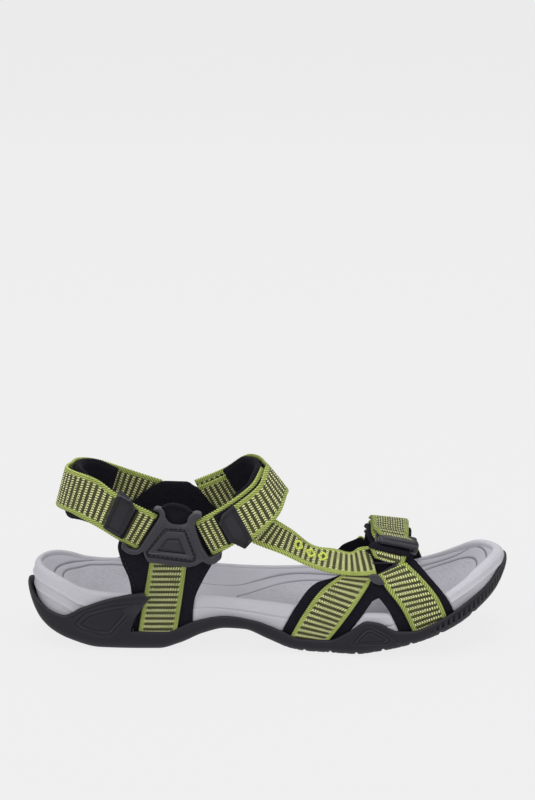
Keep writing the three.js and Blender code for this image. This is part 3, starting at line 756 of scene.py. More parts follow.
def moulded(name, loops, low, high, bevel, place, material, radius=1.2):
    """A plate between two heights with rounded corners and bevelled edges. The loops after the first are
    holes. `place` turns (x, y, height) in millimetres into points of the frame."""
    curve = bpy.data.curves.new(name, "CURVE")
    curve.dimensions = "2D"
    curve.fill_mode = "BOTH"
    curve.extrude = max((high - low) / 2 - bevel, 0.01)
    curve.bevel_depth = bevel
    curve.bevel_resolution = 2
    curve.offset = -bevel
    for loop in loops:
        outline = rounded(loop, radius)
        line = curve.splines.new("POLY")
        line.points.add(len(outline) - 1)
        for point, (x, y) in zip(line.points, outline):
            point.co = (x, y, 0, 1)
        line.use_cyclic_u = True
    holder = bpy.data.objects.new(name, curve)
    bpy.context.scene.collection.objects.link(holder)
    bpy.context.view_layer.update()
    mesh = bpy.data.meshes.new_from_object(holder.evaluated_get(bpy.context.evaluated_depsgraph_get()))
    bpy.data.objects.remove(holder)
    flat = np.array([v.co for v in mesh.vertices], float)
    flat[:, 2] += (low + high) / 2
    faces = [list(p.vertices) for p in mesh.polygons]
    bpy.data.meshes.remove(mesh)
    piece = mesh_object(name, place(flat), faces, material, smooth=False)
    work = bmesh.new()
    work.from_mesh(piece.data)
    bmesh.ops.remove_doubles(work, verts=work.verts, dist=1e-6)
    bmesh.ops.recalc_face_normals(work, faces=work.faces)
    work.to_mesh(piece.data)
    work.free()
    smooth_shaded(piece.data)
    piece.data.set_sharp_from_angle(angle=math.radians(32))
    return piece


# ------------------------------------------------------------------ sole
SOLE_POINTS = 1200
corners = [HEEL_END, *OUTER_EDGE, TOE_END, *reversed(INNER_EDGE)]
outline = resample(spline(corners, np.linspace(0, 1, 6000, endpoint=False), closed=True), SOLE_POINTS, True)
tangent = unit(np.roll(outline, -1, axis=0) - np.roll(outline, 1, axis=0))
inward = np.stack([-tangent[:, 1], tangent[:, 0]], axis=1)
run_along = np.concatenate([[0], np.cumsum(np.linalg.norm(np.diff(outline, axis=0), axis=1))])


def sole_row(inset, height):
    """The outline moved inwards, at the height that a function of x gives."""
    at = outline + inward * (np.ones(SOLE_POINTS) * inset)[:, None]
    return np.column_stack([at, height(at[:, 0])])


def ring_stack(rows, bottom_closed=True):
    """Points and faces of rings stacked from bottom to top, closed at the top."""
    faces = [list(f) for f in grid_faces(len(rows), SOLE_POINTS, wrap=True)]
    if bottom_closed:
        faces += ladder(0, SOLE_POINTS, flip=True)
    faces += ladder((len(rows) - 1) * SOLE_POINTS, SOLE_POINTS)
    return np.concatenate(rows), faces


def engraved(distance, width, depth):
    """Depth of a rounded groove, from the distance to its line."""
    return depth * np.exp(-(distance / (width / 2)) ** 2)


WING_OUTER = [(-115.5, 15), (-109.5, 22.5), (-97.5, 27.5), (-86.5, 30), (-84, 28), (-87.5, 19), (-92.5, 10.5),
              (-97, 9), (-111, 12)]
WING_INNER = [(-112, 15), (-106.5, 21), (-96.5, 25), (-87.5, 27), (-90.5, 18.5), (-94.5, 11.5), (-104.5, 12)]
WING_LINE = [(-117, 18.5), (-110, 24), (-104, 27.5), (-94, 32), (-84.5, 34), (-77.5, 34.5)]
BUMP_OUTER = [(50, 8), (57.5, 17), (61, 18), (72, 11.5), (71.5, 9)]
BUMP_INNER = [(53, 9), (59, 15.5), (61, 16), (69.5, 11), (68.5, 10)]
BUMP_RAY = [(62, 19.5), (68, 16.5), (74, 12.5), (78.5, 8.5)]


def wall_relief(points, run):
    """How far the moulded pattern of the rubber wall goes in, and out where it is negative."""
    flat = points[:, [0, 2]]
    depth = np.zeros(len(points))
    for outer, inner in ((WING_OUTER, WING_INNER), (BUMP_OUTER, BUMP_INNER)):
        for loop in (outer, inner):
            depth += engraved(distance_to_line(flat, rounded(loop, 2.0), True), 1.0, 0.85)
        depth += 0.35 * inside(flat, rounded(inner, 2.0))
    depth += engraved(distance_to_line(flat, WING_LINE), 1.2, 0.6)
    depth += engraved(distance_to_line(flat, BUMP_RAY), 1.2, 0.6)
    x = points[:, 0]
    low = smoothstep(0.86, 0.62, (points[:, 2] - ground(x)) / np.maximum(wrap_top(x) - ground(x), 6))
    tooth = 0.5 + 0.5 * np.cos(2 * np.pi * run / 3.6)
    depth += 1.7 * smoothstep(0.45, 0.75, tooth) * low * smoothstep(92, 106, x)
    return depth


def tread(x, y):
    """How far the tread's grooves go up from the ground."""
    bend = np.abs(y) * 0.32
    chevron = np.abs(((x + bend) / 16.2 + 0.36) % 1 - 0.5)
    depth = 1.5 * smoothstep(0.075, 0.035, chevron)
    sipe = np.abs(((x - bend * 1.2) / 5.4) % 1 - 0.5)
    depth = np.maximum(depth, 0.6 * smoothstep(0.09, 0.045, sipe))
    half = 0.5 * np.interp(x, [-145, -110, -60, 0, 60, 100, 145], [18, 30, 33, 33, 44, 40, 12])
    depth = np.maximum(depth, 1.2 * smoothstep(1.3, 0.8, np.abs(np.abs(y) - half)))
    plain = smoothstep(-56, -50, x) * smoothstep(10, 4, x)
    return depth * (1 - plain)


def lean(points):
    """Leans the rubber wing forwards and off the strap that it holds."""
    x, y, z = points.T
    share = np.clip((z - 12) / 25, 0, 1) ** 1.3 * smoothstep(-122, -83, x) * smoothstep(-80.2, -81.2, x)
    moved = points.copy()
    moved[:, 0] += 11 * share
    moved[:, 1] += np.sign(y) * (2.3 * smoothstep(0.35, 0.9, share))
    return moved


def build_outsole():
    """Rubber shell: tread, moulded wall with its wings, and the lip round the foam."""
    def wall(x):
        return np.maximum(wrap_top(x), ground(x) + 6)
    rows = []
    for inset, rise, share in ((5, 0, 1), (3.4, 0.25, 1), (2.0, 1.0, 0.9), (0.9, 2.2, 0.55), (0.3, 3.4, 0.2)):
        row = sole_row(inset, ground)
        edge = 1 if inset > 4 else smoothstep(0, 30, row[:, 0])
        row[:, 2] += rise + share * edge * tread(row[:, 0], row[:, 1]) * (0.75 if rise else 1)
        rows.append(row)
    steps = 38
    for k in range(steps + 1):
        f = k / steps
        row = sole_row(-0.22 * math.sin(math.pi * f),
                       lambda x: (ground(x) + 4.6) * (1 - f) + (wall(x) - 0.9) * f)
        depth = wall_relief(row, run_along) * smoothstep(0, 0.05, f)
        row[:, :2] += inward * depth[:, None]
        rows.append(row)
    for inset, drop in ((0.12, 0.5), (0.4, 0.15), (0.85, 0), (1.5, 0), (2.2, 0.1), (2.8, 0.45), (3.1, 1.2)):
        rows.append(sole_row(inset, lambda x: wall(x) - drop))
    rows.append(sole_row(3.2, lambda x: ground(x) + 4.8))
    points, faces = ring_stack([lean(row) if i > 4 else row for i, row in enumerate(rows)], False)
    across = 46
    base = len(points)
    half = SOLE_POINTS // 2
    first, second = rows[0][:half], rows[0][::-1][:half]
    s = np.linspace(0, 1, across)[1:-1]
    fill = first[:, None, :] * (1 - s)[None, :, None] + second[:, None, :] * s[None, :, None]
    fill[..., 2] = ground(fill[..., 0]) + tread(fill[..., 0], fill[..., 1])
    points = np.concatenate([points, fill.reshape(-1, 3)])
    inner = across - 2
    for i in range(half - 1):
        left = [i] + [base + i * inner + k for k in range(inner)] + [SOLE_POINTS - 1 - i]
        right = [i + 1] + [base + (i + 1) * inner + k for k in range(inner)] + [SOLE_POINTS - 2 - i]
        for k in range(across - 1):
            faces.append([left[k], left[k + 1], right[k + 1], right[k]])
    for row, near in ((0, True), (half - 1, False)):
        loop = [row] + [base + row * inner + k for k in range(inner)] + [SOLE_POINTS - 1 - row]
        faces.append(loop if near else loop[::-1])
    return face_out(mesh_object("outsole_rubber", points, faces, MAT["rubber"]))


crease_depth = smooth_table([(-145, 7.5), (-125, 8.6), (-110, 9.6), (-60, 8), (-20, 6.8), (10, 8.2), (40, 8),
                             (80, 7), (110, 5.8), (145, 5)])


def midsole_inset(x, down):
    """The foam wall's distance in from the outline, `down` millimetres below its rim."""
    crease = crease_depth(x)
    above = np.clip(1 - down / crease, 0, 1)
    inset = 3.4 + 1.5 * above ** 1.3 + 1.5 * np.clip(1 - down / 2.2, 0, 1) ** 2
    from_crease = down - crease
    ridge = smoothstep(-92, -108, x) + smoothstep(98, 110, x)
    inset += 0.75 * np.exp(-(from_crease / 0.55) ** 2) * (1 - ridge)
    inset -= 0.55 * np.exp(-(from_crease / 0.9) ** 2) * ridge
    inset += 0.45 * smoothstep(0, 1.6, from_crease) * ridge
    inset -= 0.5 * np.exp(-((down - crease - 7) / 1.1) ** 2) * smoothstep(-104, -112, x)
    return inset - 2.2 * smoothstep(112, 134, x)


def build_midsole(linings):
    """The foam wall, cut back where a lining passes down outside it."""
    rows = []
    steps = 44
    x = outline[:, 0]
    bottom = ground(x) + 5.4
    for k in range(steps + 1):
        down = (rim_top(x) - bottom) * (1 - k / steps) ** 1.15
        inset = midsole_inset(x, down)
        at = outline + inward * inset[:, None]
        rows.append(np.column_stack([at, rim_top(x) - down]))
    for inset, drop in ((6.9, -0.05), (7.5, 0.05), (8.1, 0.4), (8.6, 1.1), (8.8, 3), (8.9, 10.7)):
        at = outline + inward * inset
        rows.append(np.column_stack([at, rim_top(x) - drop]))
    grid = np.array(rows)
    push = np.zeros(grid.shape[:2])
    for lining in linings:
        tree = BVHTree.FromObject(lining, bpy.context.evaluated_depsgraph_get())
        box = np.array([v.co for v in lining.data.vertices]) / MM
        side = 1 if box[:, 1].mean() > 0 else -1
        near = ((grid[..., 0] > box[:, 0].min() - 1) & (grid[..., 0] < box[:, 0].max() + 1)
                & (grid[..., 1] * side > 18))
        for i, j in zip(*np.nonzero(near)):
            start = Vector((grid[i, j, 0] * MM, side * 18 * MM, grid[i, j, 2] * MM))
            hit = tree.ray_cast(start, Vector((0, side, 0)), 0.04)[0]
            if hit is not None:
                push[i, j] = max(push[i, j], abs(grid[i, j, 1]) - (abs(hit.y) / MM - 0.25))
    push = np.maximum(push, 0)
    for _ in range(2):
        spread = (np.roll(push, 1, axis=1) + push + np.roll(push, -1, axis=1)) / 3
        padded = np.vstack([spread[:1], spread, spread[-1:]])
        push = (padded[:-2] + padded[1:-1] + padded[2:]) / 3
    grid[..., 1] -= np.sign(grid[..., 1]) * push * 1.05
    points, faces = ring_stack(list(grid))
    return face_out(mesh_object("midsole_foam", points, faces, MAT["foam"]))


HEEL_GROOVE = [(-90.5, 25), (-101.5, 24), (-111, 21), (-122.5, 9), (-123.5, -4), (-116, -15), (-107, -19.5),
               (-95, -22.5), (-80, -22), (-64, -16), (-55, -5), (-56, 7), (-65, 17.5), (-78, 23)]
FORE_GROOVE = [(-18.5, -10), (-12.5, -3.5), (-5, 5), (3, 13.5), (10, 18.5), (19.5, 23), (31, 26.5),
               (50, 29.5), (70, 30.5), (90, 30.5), (104, 30), (114.5, 26.5), (121.5, 22.5), (126, 17),
               (127.5, 8), (125, -2), (118, -13.5), (105, -22.5), (85, -29.5), (60, -30.5), (35, -27.5),
               (15, -22.5), (-4, -17.5), (-14.5, -13)]
LONG_GROOVE = [(-122, -15), (-127, -9.5), (-129, -2), (-128, 6.5), (-125, 12.5), (-118.5, 19.5), (-110, 24.5),
               (-100, 27.5), (-84, 27.5), (-66, 22), (-50, 12.5), (-38, 8), (-27, 7.5), (-18.5, 9.5), (-7, 17),
               (5.5, 23.5), (19, 28.5), (35, 32), (60, 34.5), (80, 35), (97, 34), (108, 31.5), (118, 28),
               (125.5, 26), (130.5, 20.5), (133, 13), (133, 6), (131.5, -4), (127, -14)]
WING_TIP = [(-85.5, 34), (-82.5, 35.5), (-78, 36), (-73.5, 35.5), (-69.5, 33.5), (-72.5, 30), (-75.5, 25.5),
            (-80, 19.5), (-83, 17), (-85.5, 24)]


def build_wing_tips():
    """The points of the two rubber wings, which lie over the side straps."""
    tips = []
    for side, reach in ((-1, 38.6), (1, 36.6)):
        def place(flat, side=side, reach=reach):
            back = smoothstep(-77, -84.5, flat[:, 0])
            return np.column_stack([flat[:, 0], side * (reach + flat[:, 2] - 2.2 * back), flat[:, 1]])
        tips.append(moulded("wing_tip", [dense(WING_TIP)], -0.7, 1.1, 0.8, place, MAT["rubber"], 1.2))
    return tips


def build_footbed():
    """Contoured top layer with its moulded grooves and pebbled zones."""
    edge_inset = 8.75
    half = SOLE_POINTS // 2
    ring = outline + inward * edge_inset
    across = 124
    s = np.linspace(0, 1, across)
    s = s - 0.06 * np.sin(2 * np.pi * s) / (2 * np.pi)
    first, second = ring[:half], ring[::-1][:half]
    flat = first[:, None, :] * (1 - s)[None, :, None] + second[:, None, :] * s[None, :, None]
    xy = flat.reshape(-1, 2)
    border = resample(ring, 260, True)
    down_in = distance_to_line(xy, border, True)
    dish = np.interp(down_in, [0, 1, 2.5, 4.5, 7, 10, 13, 16, 24],
                     [1.15, 1.55, 2.5, 3.95, 5.35, 6.35, 6.85, 7.05, 7.15])
    long = resample(spline(LONG_GROOVE, np.linspace(0, 1, 600)), 150)
    loops = [resample(spline(g, np.linspace(0, 1, 600, endpoint=False), closed=True), 120, True)
             for g in (HEEL_GROOVE, FORE_GROOVE)]
    lines = [distance_to_line(xy, long)] + [distance_to_line(xy, loop, True) for loop in loops]
    groove = np.max([np.exp(-(d / 0.42) ** 2) for d in lines], axis=0)
    zone = np.max([inside(xy, loop) * smoothstep(1.2, 3, d) for loop, d in zip(loops, lines[1:])], axis=0)
    sunk = np.max([inside(xy, loop) * smoothstep(0, 1.2, d) for loop, d in zip(loops, lines[1:])], axis=0)
    pebble = 0.09 * np.sin(xy[:, 0] * 2.1 + 1.3 * np.sin(xy[:, 1] * 1.7)) * np.sin(xy[:, 1] * 2.3)
    height = rim_top(xy[:, 0]) - dish - 0.7 * groove - 0.22 * sunk + pebble * zone
    top = np.column_stack([xy, height])
    count = len(top)
    wall = np.column_stack([ring, rim_top(ring[:, 0]) - 10.4])
    points = np.concatenate([top, wall])
    faces = [list(f)[::-1] for f in grid_faces(half, across)]
    edge = [i * across for i in range(half)] + [i * across + across - 1 for i in reversed(range(half))]
    for i in range(SOLE_POINTS):
        n = (i + 1) % SOLE_POINTS
        faces.append([edge[i], edge[n], count + n, count + i])
    for row in (0, half - 1):
        loop = [row * across + k for k in range(across)]
        faces.append(loop if row else loop[::-1])
    faces += ladder(count, SOLE_POINTS, flip=True)
    weave = np.zeros((len(points), 3))
    # The groove mask also tells the shader where to paint shade in the grooves; the zone mask marks the
    # pebbled zones.
    weave[:count, 0], weave[:count, 1] = groove, zone
    return face_out(mesh_object("footbed_foam", points, faces, MAT["footbed"], weave))


def build_arch_insert():
    """Plate under the arch with shallow ribs along the foot."""
    xs, ys = np.linspace(-50, 4, 90), np.linspace(-26, 26, 70)
    x, y = np.meshgrid(xs, ys, indexing="ij")
    top = ground(x) - GAP
    rim = smoothstep(0, 1.1, np.minimum(np.minimum(x + 50, 4 - x), 26 - np.abs(y)))
    rib = 0.35 * smoothstep(0.3, 0.8, np.cos(2 * np.pi * y / 7)) * smoothstep(3, 6, np.minimum(x + 50, 4 - x))
    low = np.maximum(top - 0.9 - (0.7 - rib) * rim, 0.4)
    sheets = [np.stack([x, y, z], axis=-1).reshape(-1, 3) for z in (top, low)]
    points = np.concatenate(sheets)
    rows, columns = x.shape
    skin = grid_faces(rows, columns)
    faces = [list(f) for f in skin] + [[k + rows * columns for k in f[::-1]] for f in skin]
    border = ([k for k in range(columns)] + [r * columns + columns - 1 for r in range(1, rows)]
              + [(rows - 1) * columns + k for k in range(columns - 2, -1, -1)]
              + [r * columns for r in range(rows - 2, 0, -1)])
    for a, b in zip(border, border[1:] + border[:1]):
        faces.append([a, b, b + rows * columns, a + rows * columns])
    return face_out(mesh_object("arch_plate", points, faces, MAT["shank"]))


# ------------------------------------------------------------------ bands
def inner_hub(stations):
    """The outer side's stations, mirrored and lowered for the inner side."""
    return [tuple((x, -y - MEDIAL_SHIFT, z * INNER_HUB_HEIGHT) for x, y, z in pair) for pair in stations]


heel = Band(HEEL_LOOP, 1)
ankle = Band(ANKLE_LOOP, -1)
instep = Band(INSTEP, -1)
toe = Band(TOE_STRAP, 1)
SIDES = [
    ("outer", -1, Band(HUB_LINING, -1), Band(SIDE_STRAP, -1),
     [Band(OUTER_REAR_LEG, -1), Band(OUTER_FRONT_LEG, -1)]),
    ("inner", 1, Band(inner_hub(HUB_LINING), 1), Band(inner_hub(SIDE_STRAP), 1),
     [Band(INNER_REAR_LEG, 1), Band(INNER_FRONT_LEG, 1)])]


def closed_over(t):
    """How far out the closing strap lies: on the base strap first, and in its place after the fold."""
    return LAYER * (1 - smoothstep(FOLD + 0.02, FOLD + 0.16, t))


def tube(name, path, radius, material, sides=8):
    """A thin piped edge along a path."""
    path = resample(path, max(12, int(len(path) * 0.9)))
    along = unit(np.gradient(path, axis=0))
    up = np.tile([0.0, 0.0, 1.0], (len(path), 1))
    side = unit(np.cross(along, up))
    up = np.cross(side, along)
    angle = np.linspace(0, 2 * np.pi, sides, endpoint=False)
    taper = np.sqrt(np.clip(np.minimum(np.arange(len(path)), np.arange(len(path))[::-1]) / 3, 0.05, 1))
    ring = (path[:, None, :] + (np.cos(angle)[None, :, None] * side[:, None, :]
            + np.sin(angle)[None, :, None] * up[:, None, :]) * (radius * taper)[:, None, None])
    faces = [list(f) for f in grid_faces(len(path), sides, wrap=True)]
    faces += [list(range(sides)), [(len(path) - 1) * sides + k for k in range(sides)]]
    return face_out(mesh_object(name, ring.reshape(-1, 3), faces, material))


def fused(name, pieces, voxel, material, smooth_rounds=4):
    """One closed skin over several overlapping solids."""
    piece = joined(name, pieces)
    remesh = piece.modifiers.new("skin", "REMESH")
    remesh.mode = "VOXEL"
    remesh.voxel_size = voxel * MM
    relax = piece.modifiers.new("relax", "SMOOTH")
    relax.iterations = smooth_rounds
    relax.factor = 0.5
    applied(piece)
    piece.data.materials.clear()
    piece.data.materials.append(material)
    smooth_shaded(piece.data)
    return piece


# ------------------------------------------------------------------ linings and the foam they sit in
def taper(size):
    """An extra width that fades out at a leg's upper end, under the instep strap."""
    return lambda t: size * (0.25 + 0.75 * smoothstep(0.0, 0.25, t))


LEG_BACKS = {          # distance from the middle, and edge, of the lining between a pair of legs
    "outer": (32.4, [(60, 46), (59, 59), (66, 61), (86, 58.5), (87, 51), (76, 42), (66, 41)]),
    "inner": (30.5, [(60, 44), (60, 50.5), (66, 52.5), (83, 51), (85, 47), (76, 41), (66, 40)])}


def build_linings():
    """The neoprene behind each hub, and the one that backs each pair of legs."""
    made = {}
    for word, side, lining, strap, legs in SIDES:
        made[f"{word}_hub"] = ribbon(f"{word}_hub_padding", lining, 0, 1, MAT["neoprene"],
                                     thickness=LINING + 0.5, relief=seam_relief, step=0.6, columns=72,
                                     round_edge=1.6, puff=0.25,
                                     widen=(lambda t: 0.35 * np.sin(t * 55) * smoothstep(0.4, 0.1, t))
                                     if side > 0 else 0.0)
        offset = -(WEBBING + LINING) / 2 - GAP
        rear, front = legs
        strips = [ribbon(f"{word}_leg_strip", leg, 0, 1, MAT["neoprene"], thickness=LINING, offset=offset,
                         widen=wide, relief=flat_relief, step=0.8, columns=44, round_edge=1.2)
                  for leg, wide in ((rear, (taper(6.4), 7.4)), (front, (7.6, 6.2 if side < 0 else 0.5)))]
        t_rear, t_front = np.array([0.1, 0.24, 0.36, 0.5]), np.array([0.06, 0.2, 0.32, 0.44])
        near = rear.point(t_rear, rear.frame(t_rear)[4], np.full(4, offset))
        far = front.point(t_front, -front.frame(t_front)[4], np.full(4, offset))
        top = [(near[0] + (near[0] - near[1]) * 0.7, far[0] + (far[0] - far[1]) * 0.7)]
        filler = Band(top + [(a, b) for a, b in zip(near, far)], side)
        strips.append(ribbon(f"{word}_leg_fill", filler, 0, 0.98, MAT["neoprene"], thickness=LINING * 0.9,
                             widen=3, relief=flat_relief, step=0.8, columns=24, round_edge=1.0))
        deep, edge = LEG_BACKS[word]
        strips.append(moulded(
            f"{word}_leg_back", [edge], -1.2, 1.0, 0.5,
            lambda flat: np.column_stack([flat[:, 0], side * (deep + flat[:, 2] - 0.45 * (flat[:, 1] - 50)),
                                          flat[:, 1]]), MAT["neoprene"], 1.5))
        made[f"{word}_leg"] = fused(f"{word}_leg_padding", strips, 0.5, MAT["neoprene"], 14)
    return made


linings = build_linings()
midsole = build_midsole(list(linings.values()))
finish_piece(midsole, "root", "foam", "midsole")
finish_piece(build_footbed(), "root", "footbed_foam", "footbed")
finish_piece(joined("outsole_rubber", [build_outsole()] + build_wing_tips()), "root", "rubber", "outsole")
finish_piece(build_arch_insert(), "root", "shank", "arch_insert")
for key, piece in linings.items():
    word, part = key.split("_")
    finish_piece(piece, "root", "neoprene", f"{word}_{part}_lining")

# ------------------------------------------------------------------ webbing of the two sides and the toe
def bowed(t):
    """Extra width of the front leg in its middle."""
    return 1.3 * np.sin(np.pi * t)


# The side straps take the side copy of the webbing, darkened by painted shade.
for word, side, lining, strap, legs in SIDES:
    finish_piece(ribbon(f"{word}_side_strap", strap, 0, 1, MAT["side"], phase=1.0), "root", "webbing",
                 f"{word}_side_webbing")
    for name, leg, shift in (("rear", legs[0], 0.4), ("front", legs[1], 0.9)):
        finish_piece(ribbon(f"{word}_{name}_leg_strap", leg, 0, 1, MAT["webbing"], phase=shift,
                            widen=(0.0, bowed) if (word, name) == ("outer", "front") else 0.0), "root",
                     "webbing", f"{word}_{name}_leg_webbing")
finish_piece(ribbon("instep_strap", instep, 0, 1, MAT["webbing"], phase=0.6), "root", "webbing",
             "instep_webbing")
finish_piece(ribbon("toe_strap", toe, 0, 1, MAT["webbing"]), "root", "webbing", "toe_strap_webbing")
finish_piece(ribbon("toe_cushion", toe, 0.115, 0.27, MAT["neoprene"], thickness=1.6,
                    offset=(WEBBING + 1.6) / 2 + GAP, widen=(1.8, 1.6), relief=flat_relief, round_edge=0.8),
             "root", "neoprene")


def tail_lift(t):
    """How far the toe strap's loose end lies above it: over the buckle's frame first."""
    return 2.8 + 2.6 * (1 - smoothstep(0.41, 0.56, t))


# The loose end takes the tail copy of the webbing, darkened by painted shade.
tail = ribbon("toe_strap_loose_end", toe, 0.45, 0.87, MAT["tail"], offset=tail_lift, phase=0.7)
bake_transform(tail)
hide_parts("toe_strap_tail")
finish_piece(ribbon("toe_padding", toe, 0.03, 0.94, MAT["neoprene"], thickness=LINING,
                    widen=(2.5, lambda t: 2.5 + 3.6 * smoothstep(0.4, 0.1, t)),
                    offset=-(WEBBING + LINING) / 2 - 2 * GAP, relief=seam_relief, step=0.6, round_edge=1.3,
                    puff=0.15), "root", "neoprene", "toe_strap_pad")

# ------------------------------------------------------------------ heel and ankle closures
CLOSURES = {          # band, and the fold's place and direction
    "heel": (heel, (-0.12166, -0.01939, 0.09456), (0.384, -0.923, 0.007)),
    "ankle": (ankle, (0.00537, -0.01909, 0.0999), (-0.226, -0.95, -0.216))}


def fuzz(u, v, edge):
    """Uneven nap of hook and loop tape."""
    return 0.09 * np.sin(u * 5.1 + 2 * np.sin(v * 3.3)) * np.sin(v * 4.7 + np.sin(u * 2.9))


def flap_shift(word):
    """How far a closing strap lies above or below the middle of its loop."""
    def heel_shift(t):
        return 2.4 * (1 - smoothstep(0.28, 0.46, t)) + 1.2 * smoothstep(0.5, 0.65, t)

    def ankle_shift(t):
        front = smoothstep(0.42, 0.5, t) * (1 - smoothstep(0.56, 0.68, t))
        return -2.4 * (1 - smoothstep(0.28, 0.46, t)) - 1.4 * front + 2.6 * smoothstep(0.6, 0.76, t)
    return {"heel": heel_shift, "ankle": ankle_shift}[word]


def flap_growth(word):
    """How much wider a closing strap is at its lower and its upper edge."""
    if word == "ankle":
        return 0.0, 0.0
    return 0.0, lambda t: 2.3 * smoothstep(0.17, 0.26, t) * (1 - smoothstep(0.78, 0.95, t))


TAB_SHAPES = {
    "heel": [(0.1, -0.86), (0.0, -0.6), (0.0, 0.66), (0.36, 1.0), (1.0, 1.12), (1.0, -0.86)],
    "ankle": [(0.5, -1.12), (0.04, -0.4), (0.0, 0.62), (0.3, 0.9), (1.0, 0.98), (1.0, -0.98)]}


def shrunk(loop, by):
    """A convex closed loop with every side moved inwards."""
    loop = np.array(loop, float)
    centre = loop.mean(axis=0)
    sides = []
    for a, b in zip(loop, np.roll(loop, -1, axis=0)):
        normal = unit(np.array([-(b - a)[1], (b - a)[0]]))
        normal = normal if normal @ (centre - a) > 0 else -normal
        sides.append((a + normal * by, b - a))
    made = []
    for (p, d), (q, e) in zip(sides[-1:] + sides[:-1], sides):
        t = ((q - p)[0] * e[1] - (q - p)[1] * e[0]) / (d[0] * e[1] - d[1] * e[0])
        made.append(tuple(p + d * t))
    return made


def pull_tab(word, band):
    """Moulded tab on a flap's end: a plate with a sunk groove inside its edge."""
    run = band.length(TAB_START, TAB_END)
    half = band.frame(TAB_START)[4][0] + 0.4
    start = np.interp(TAB_START, band.t, band.run)

    def place(flat):
        t = np.interp(start + flat[:, 0], band.run, band.t)
        return band.point(t, flat[:, 1] + flap_shift(word)(t), LAYER + flat[:, 2])
    loop = [(u * run, v * half) for u, v in TAB_SHAPES[word]]
    body = moulded(f"{word}_tab_body", [dense(loop)], -1.2, 1.1, 0.5, place, MAT["tab"], 0.6)
    lip = moulded(f"{word}_tab_lip", [dense(shrunk(loop, 0.3)), dense(shrunk(loop, 2.0))], 0.9, 1.8, 0.3,
                  place, MAT["tab"], 0.5)
    return joined(f"{word}_tab", [body, lip])


def back_bulge(low, high):
    """A pad's extra width where it goes round the back of the heel, or over the front of the ankle."""
    return (lambda t: 1.2 + low * np.exp(-((t - 0.44) / 0.13) ** 2),
            lambda t: 1.0 + high * smoothstep(0.3, 0.42, t) * (1 - smoothstep(0.76, 0.88, t)))


def places(piece):
    """Where the points of a piece are."""
    found = np.empty(len(piece.data.vertices) * 3)
    piece.data.vertices.foreach_get("co", found)
    return found.reshape(-1, 3)


def swollen(pad, lines, voxel=1.3, cap=1.0, frames=16):
    """Swells a pad like stuffed cloth, no point further than the cap, then sinks its sewn channels."""
    skin = pad.modifiers.new("skin", "REMESH")
    skin.mode = "VOXEL"
    skin.voxel_size = voxel * MM
    applied(pad)
    before = places(pad)
    cloth = pad.modifiers.new("stuffing", "CLOTH")
    cloth.settings.use_pressure = True
    cloth.settings.uniform_pressure_force = 4
    cloth.settings.effector_weights.gravity = 0
    for frame in range(1, frames + 1):
        bpy.context.scene.frame_set(frame)
    moved = places(pad.evaluated_get(bpy.context.evaluated_depsgraph_get())) - before
    reach = np.linalg.norm(moved, axis=1, keepdims=True)
    moved *= np.minimum(1, cap * MM / np.maximum(reach, 1e-9))
    pad.modifiers.remove(cloth)
    bpy.context.scene.frame_set(1)
    pad.data.vertices.foreach_set("co", (before + moved).ravel())
    finer = pad.modifiers.new("finer", "SUBSURF")
    finer.levels = 1
    applied(pad)
    smooth_shaded(pad.data)
    points = places(pad)
    normals = np.empty(len(points) * 3)
    pad.data.vertices.foreach_get("normal", normals)
    for line in lines:
        near = np.full(len(points), 1.0)
        for step in line * MM:
            near = np.minimum(near, np.linalg.norm(points - step, axis=1))
        points -= normals.reshape(-1, 3) * (0.4 * MM * np.exp(-(near / (0.75 * MM)) ** 2))[:, None]
    pad.data.vertices.foreach_set("co", points.ravel())
    pad.data.update()


def pad_piece(word, band):
    """A strap's pad: cut a little small, swollen, then sewn along both edges of both faces."""
    end = 0.87 if word == "heel" else 0.9
    slide = flap_shift(word)
    wide = back_bulge(4.4, 2.6) if word == "heel" else back_bulge(0.4, 0.6)
    offset = -(WEBBING + PAD_THICKNESS) / 2 - PAD_GAP
    seam_in = 2.0

    def drop(t):
        return slide(t) * smoothstep(0.4, 0.6, t)
    pad = ribbon(f"{word}_padding", band, 0.19, end, MAT["neoprene"], thickness=PAD_THICKNESS, offset=offset,
                 widen=wide, shift=drop, relief=flat_relief, step=0.9, columns=56, round_edge=2.2, puff=0.3)
    t = np.linspace(0.205, end - 0.015, 150)
    half = band.frame(t)[4]
    lines = [band.point(t, v, np.full(len(t), offset + face * PAD_THICKNESS / 2)) for face in (1, -1)
             for v in (drop(t) + half + wide[1](t) - seam_in, drop(t) - half - wide[0](t) + seam_in)]
    swollen(pad, lines)
    rows = []
    for line in lines:
        found = [pad.closest_point_on_mesh(Vector(p * MM)) for p in resample(line, 240)]
        rows.append(stitches("pad_row", np.array([f[1] for f in found]) / MM, np.array([f[2] for f in found]),
                             MAT["black_thread"]))
    return joined(f"{word}_padding", [pad] + rows)


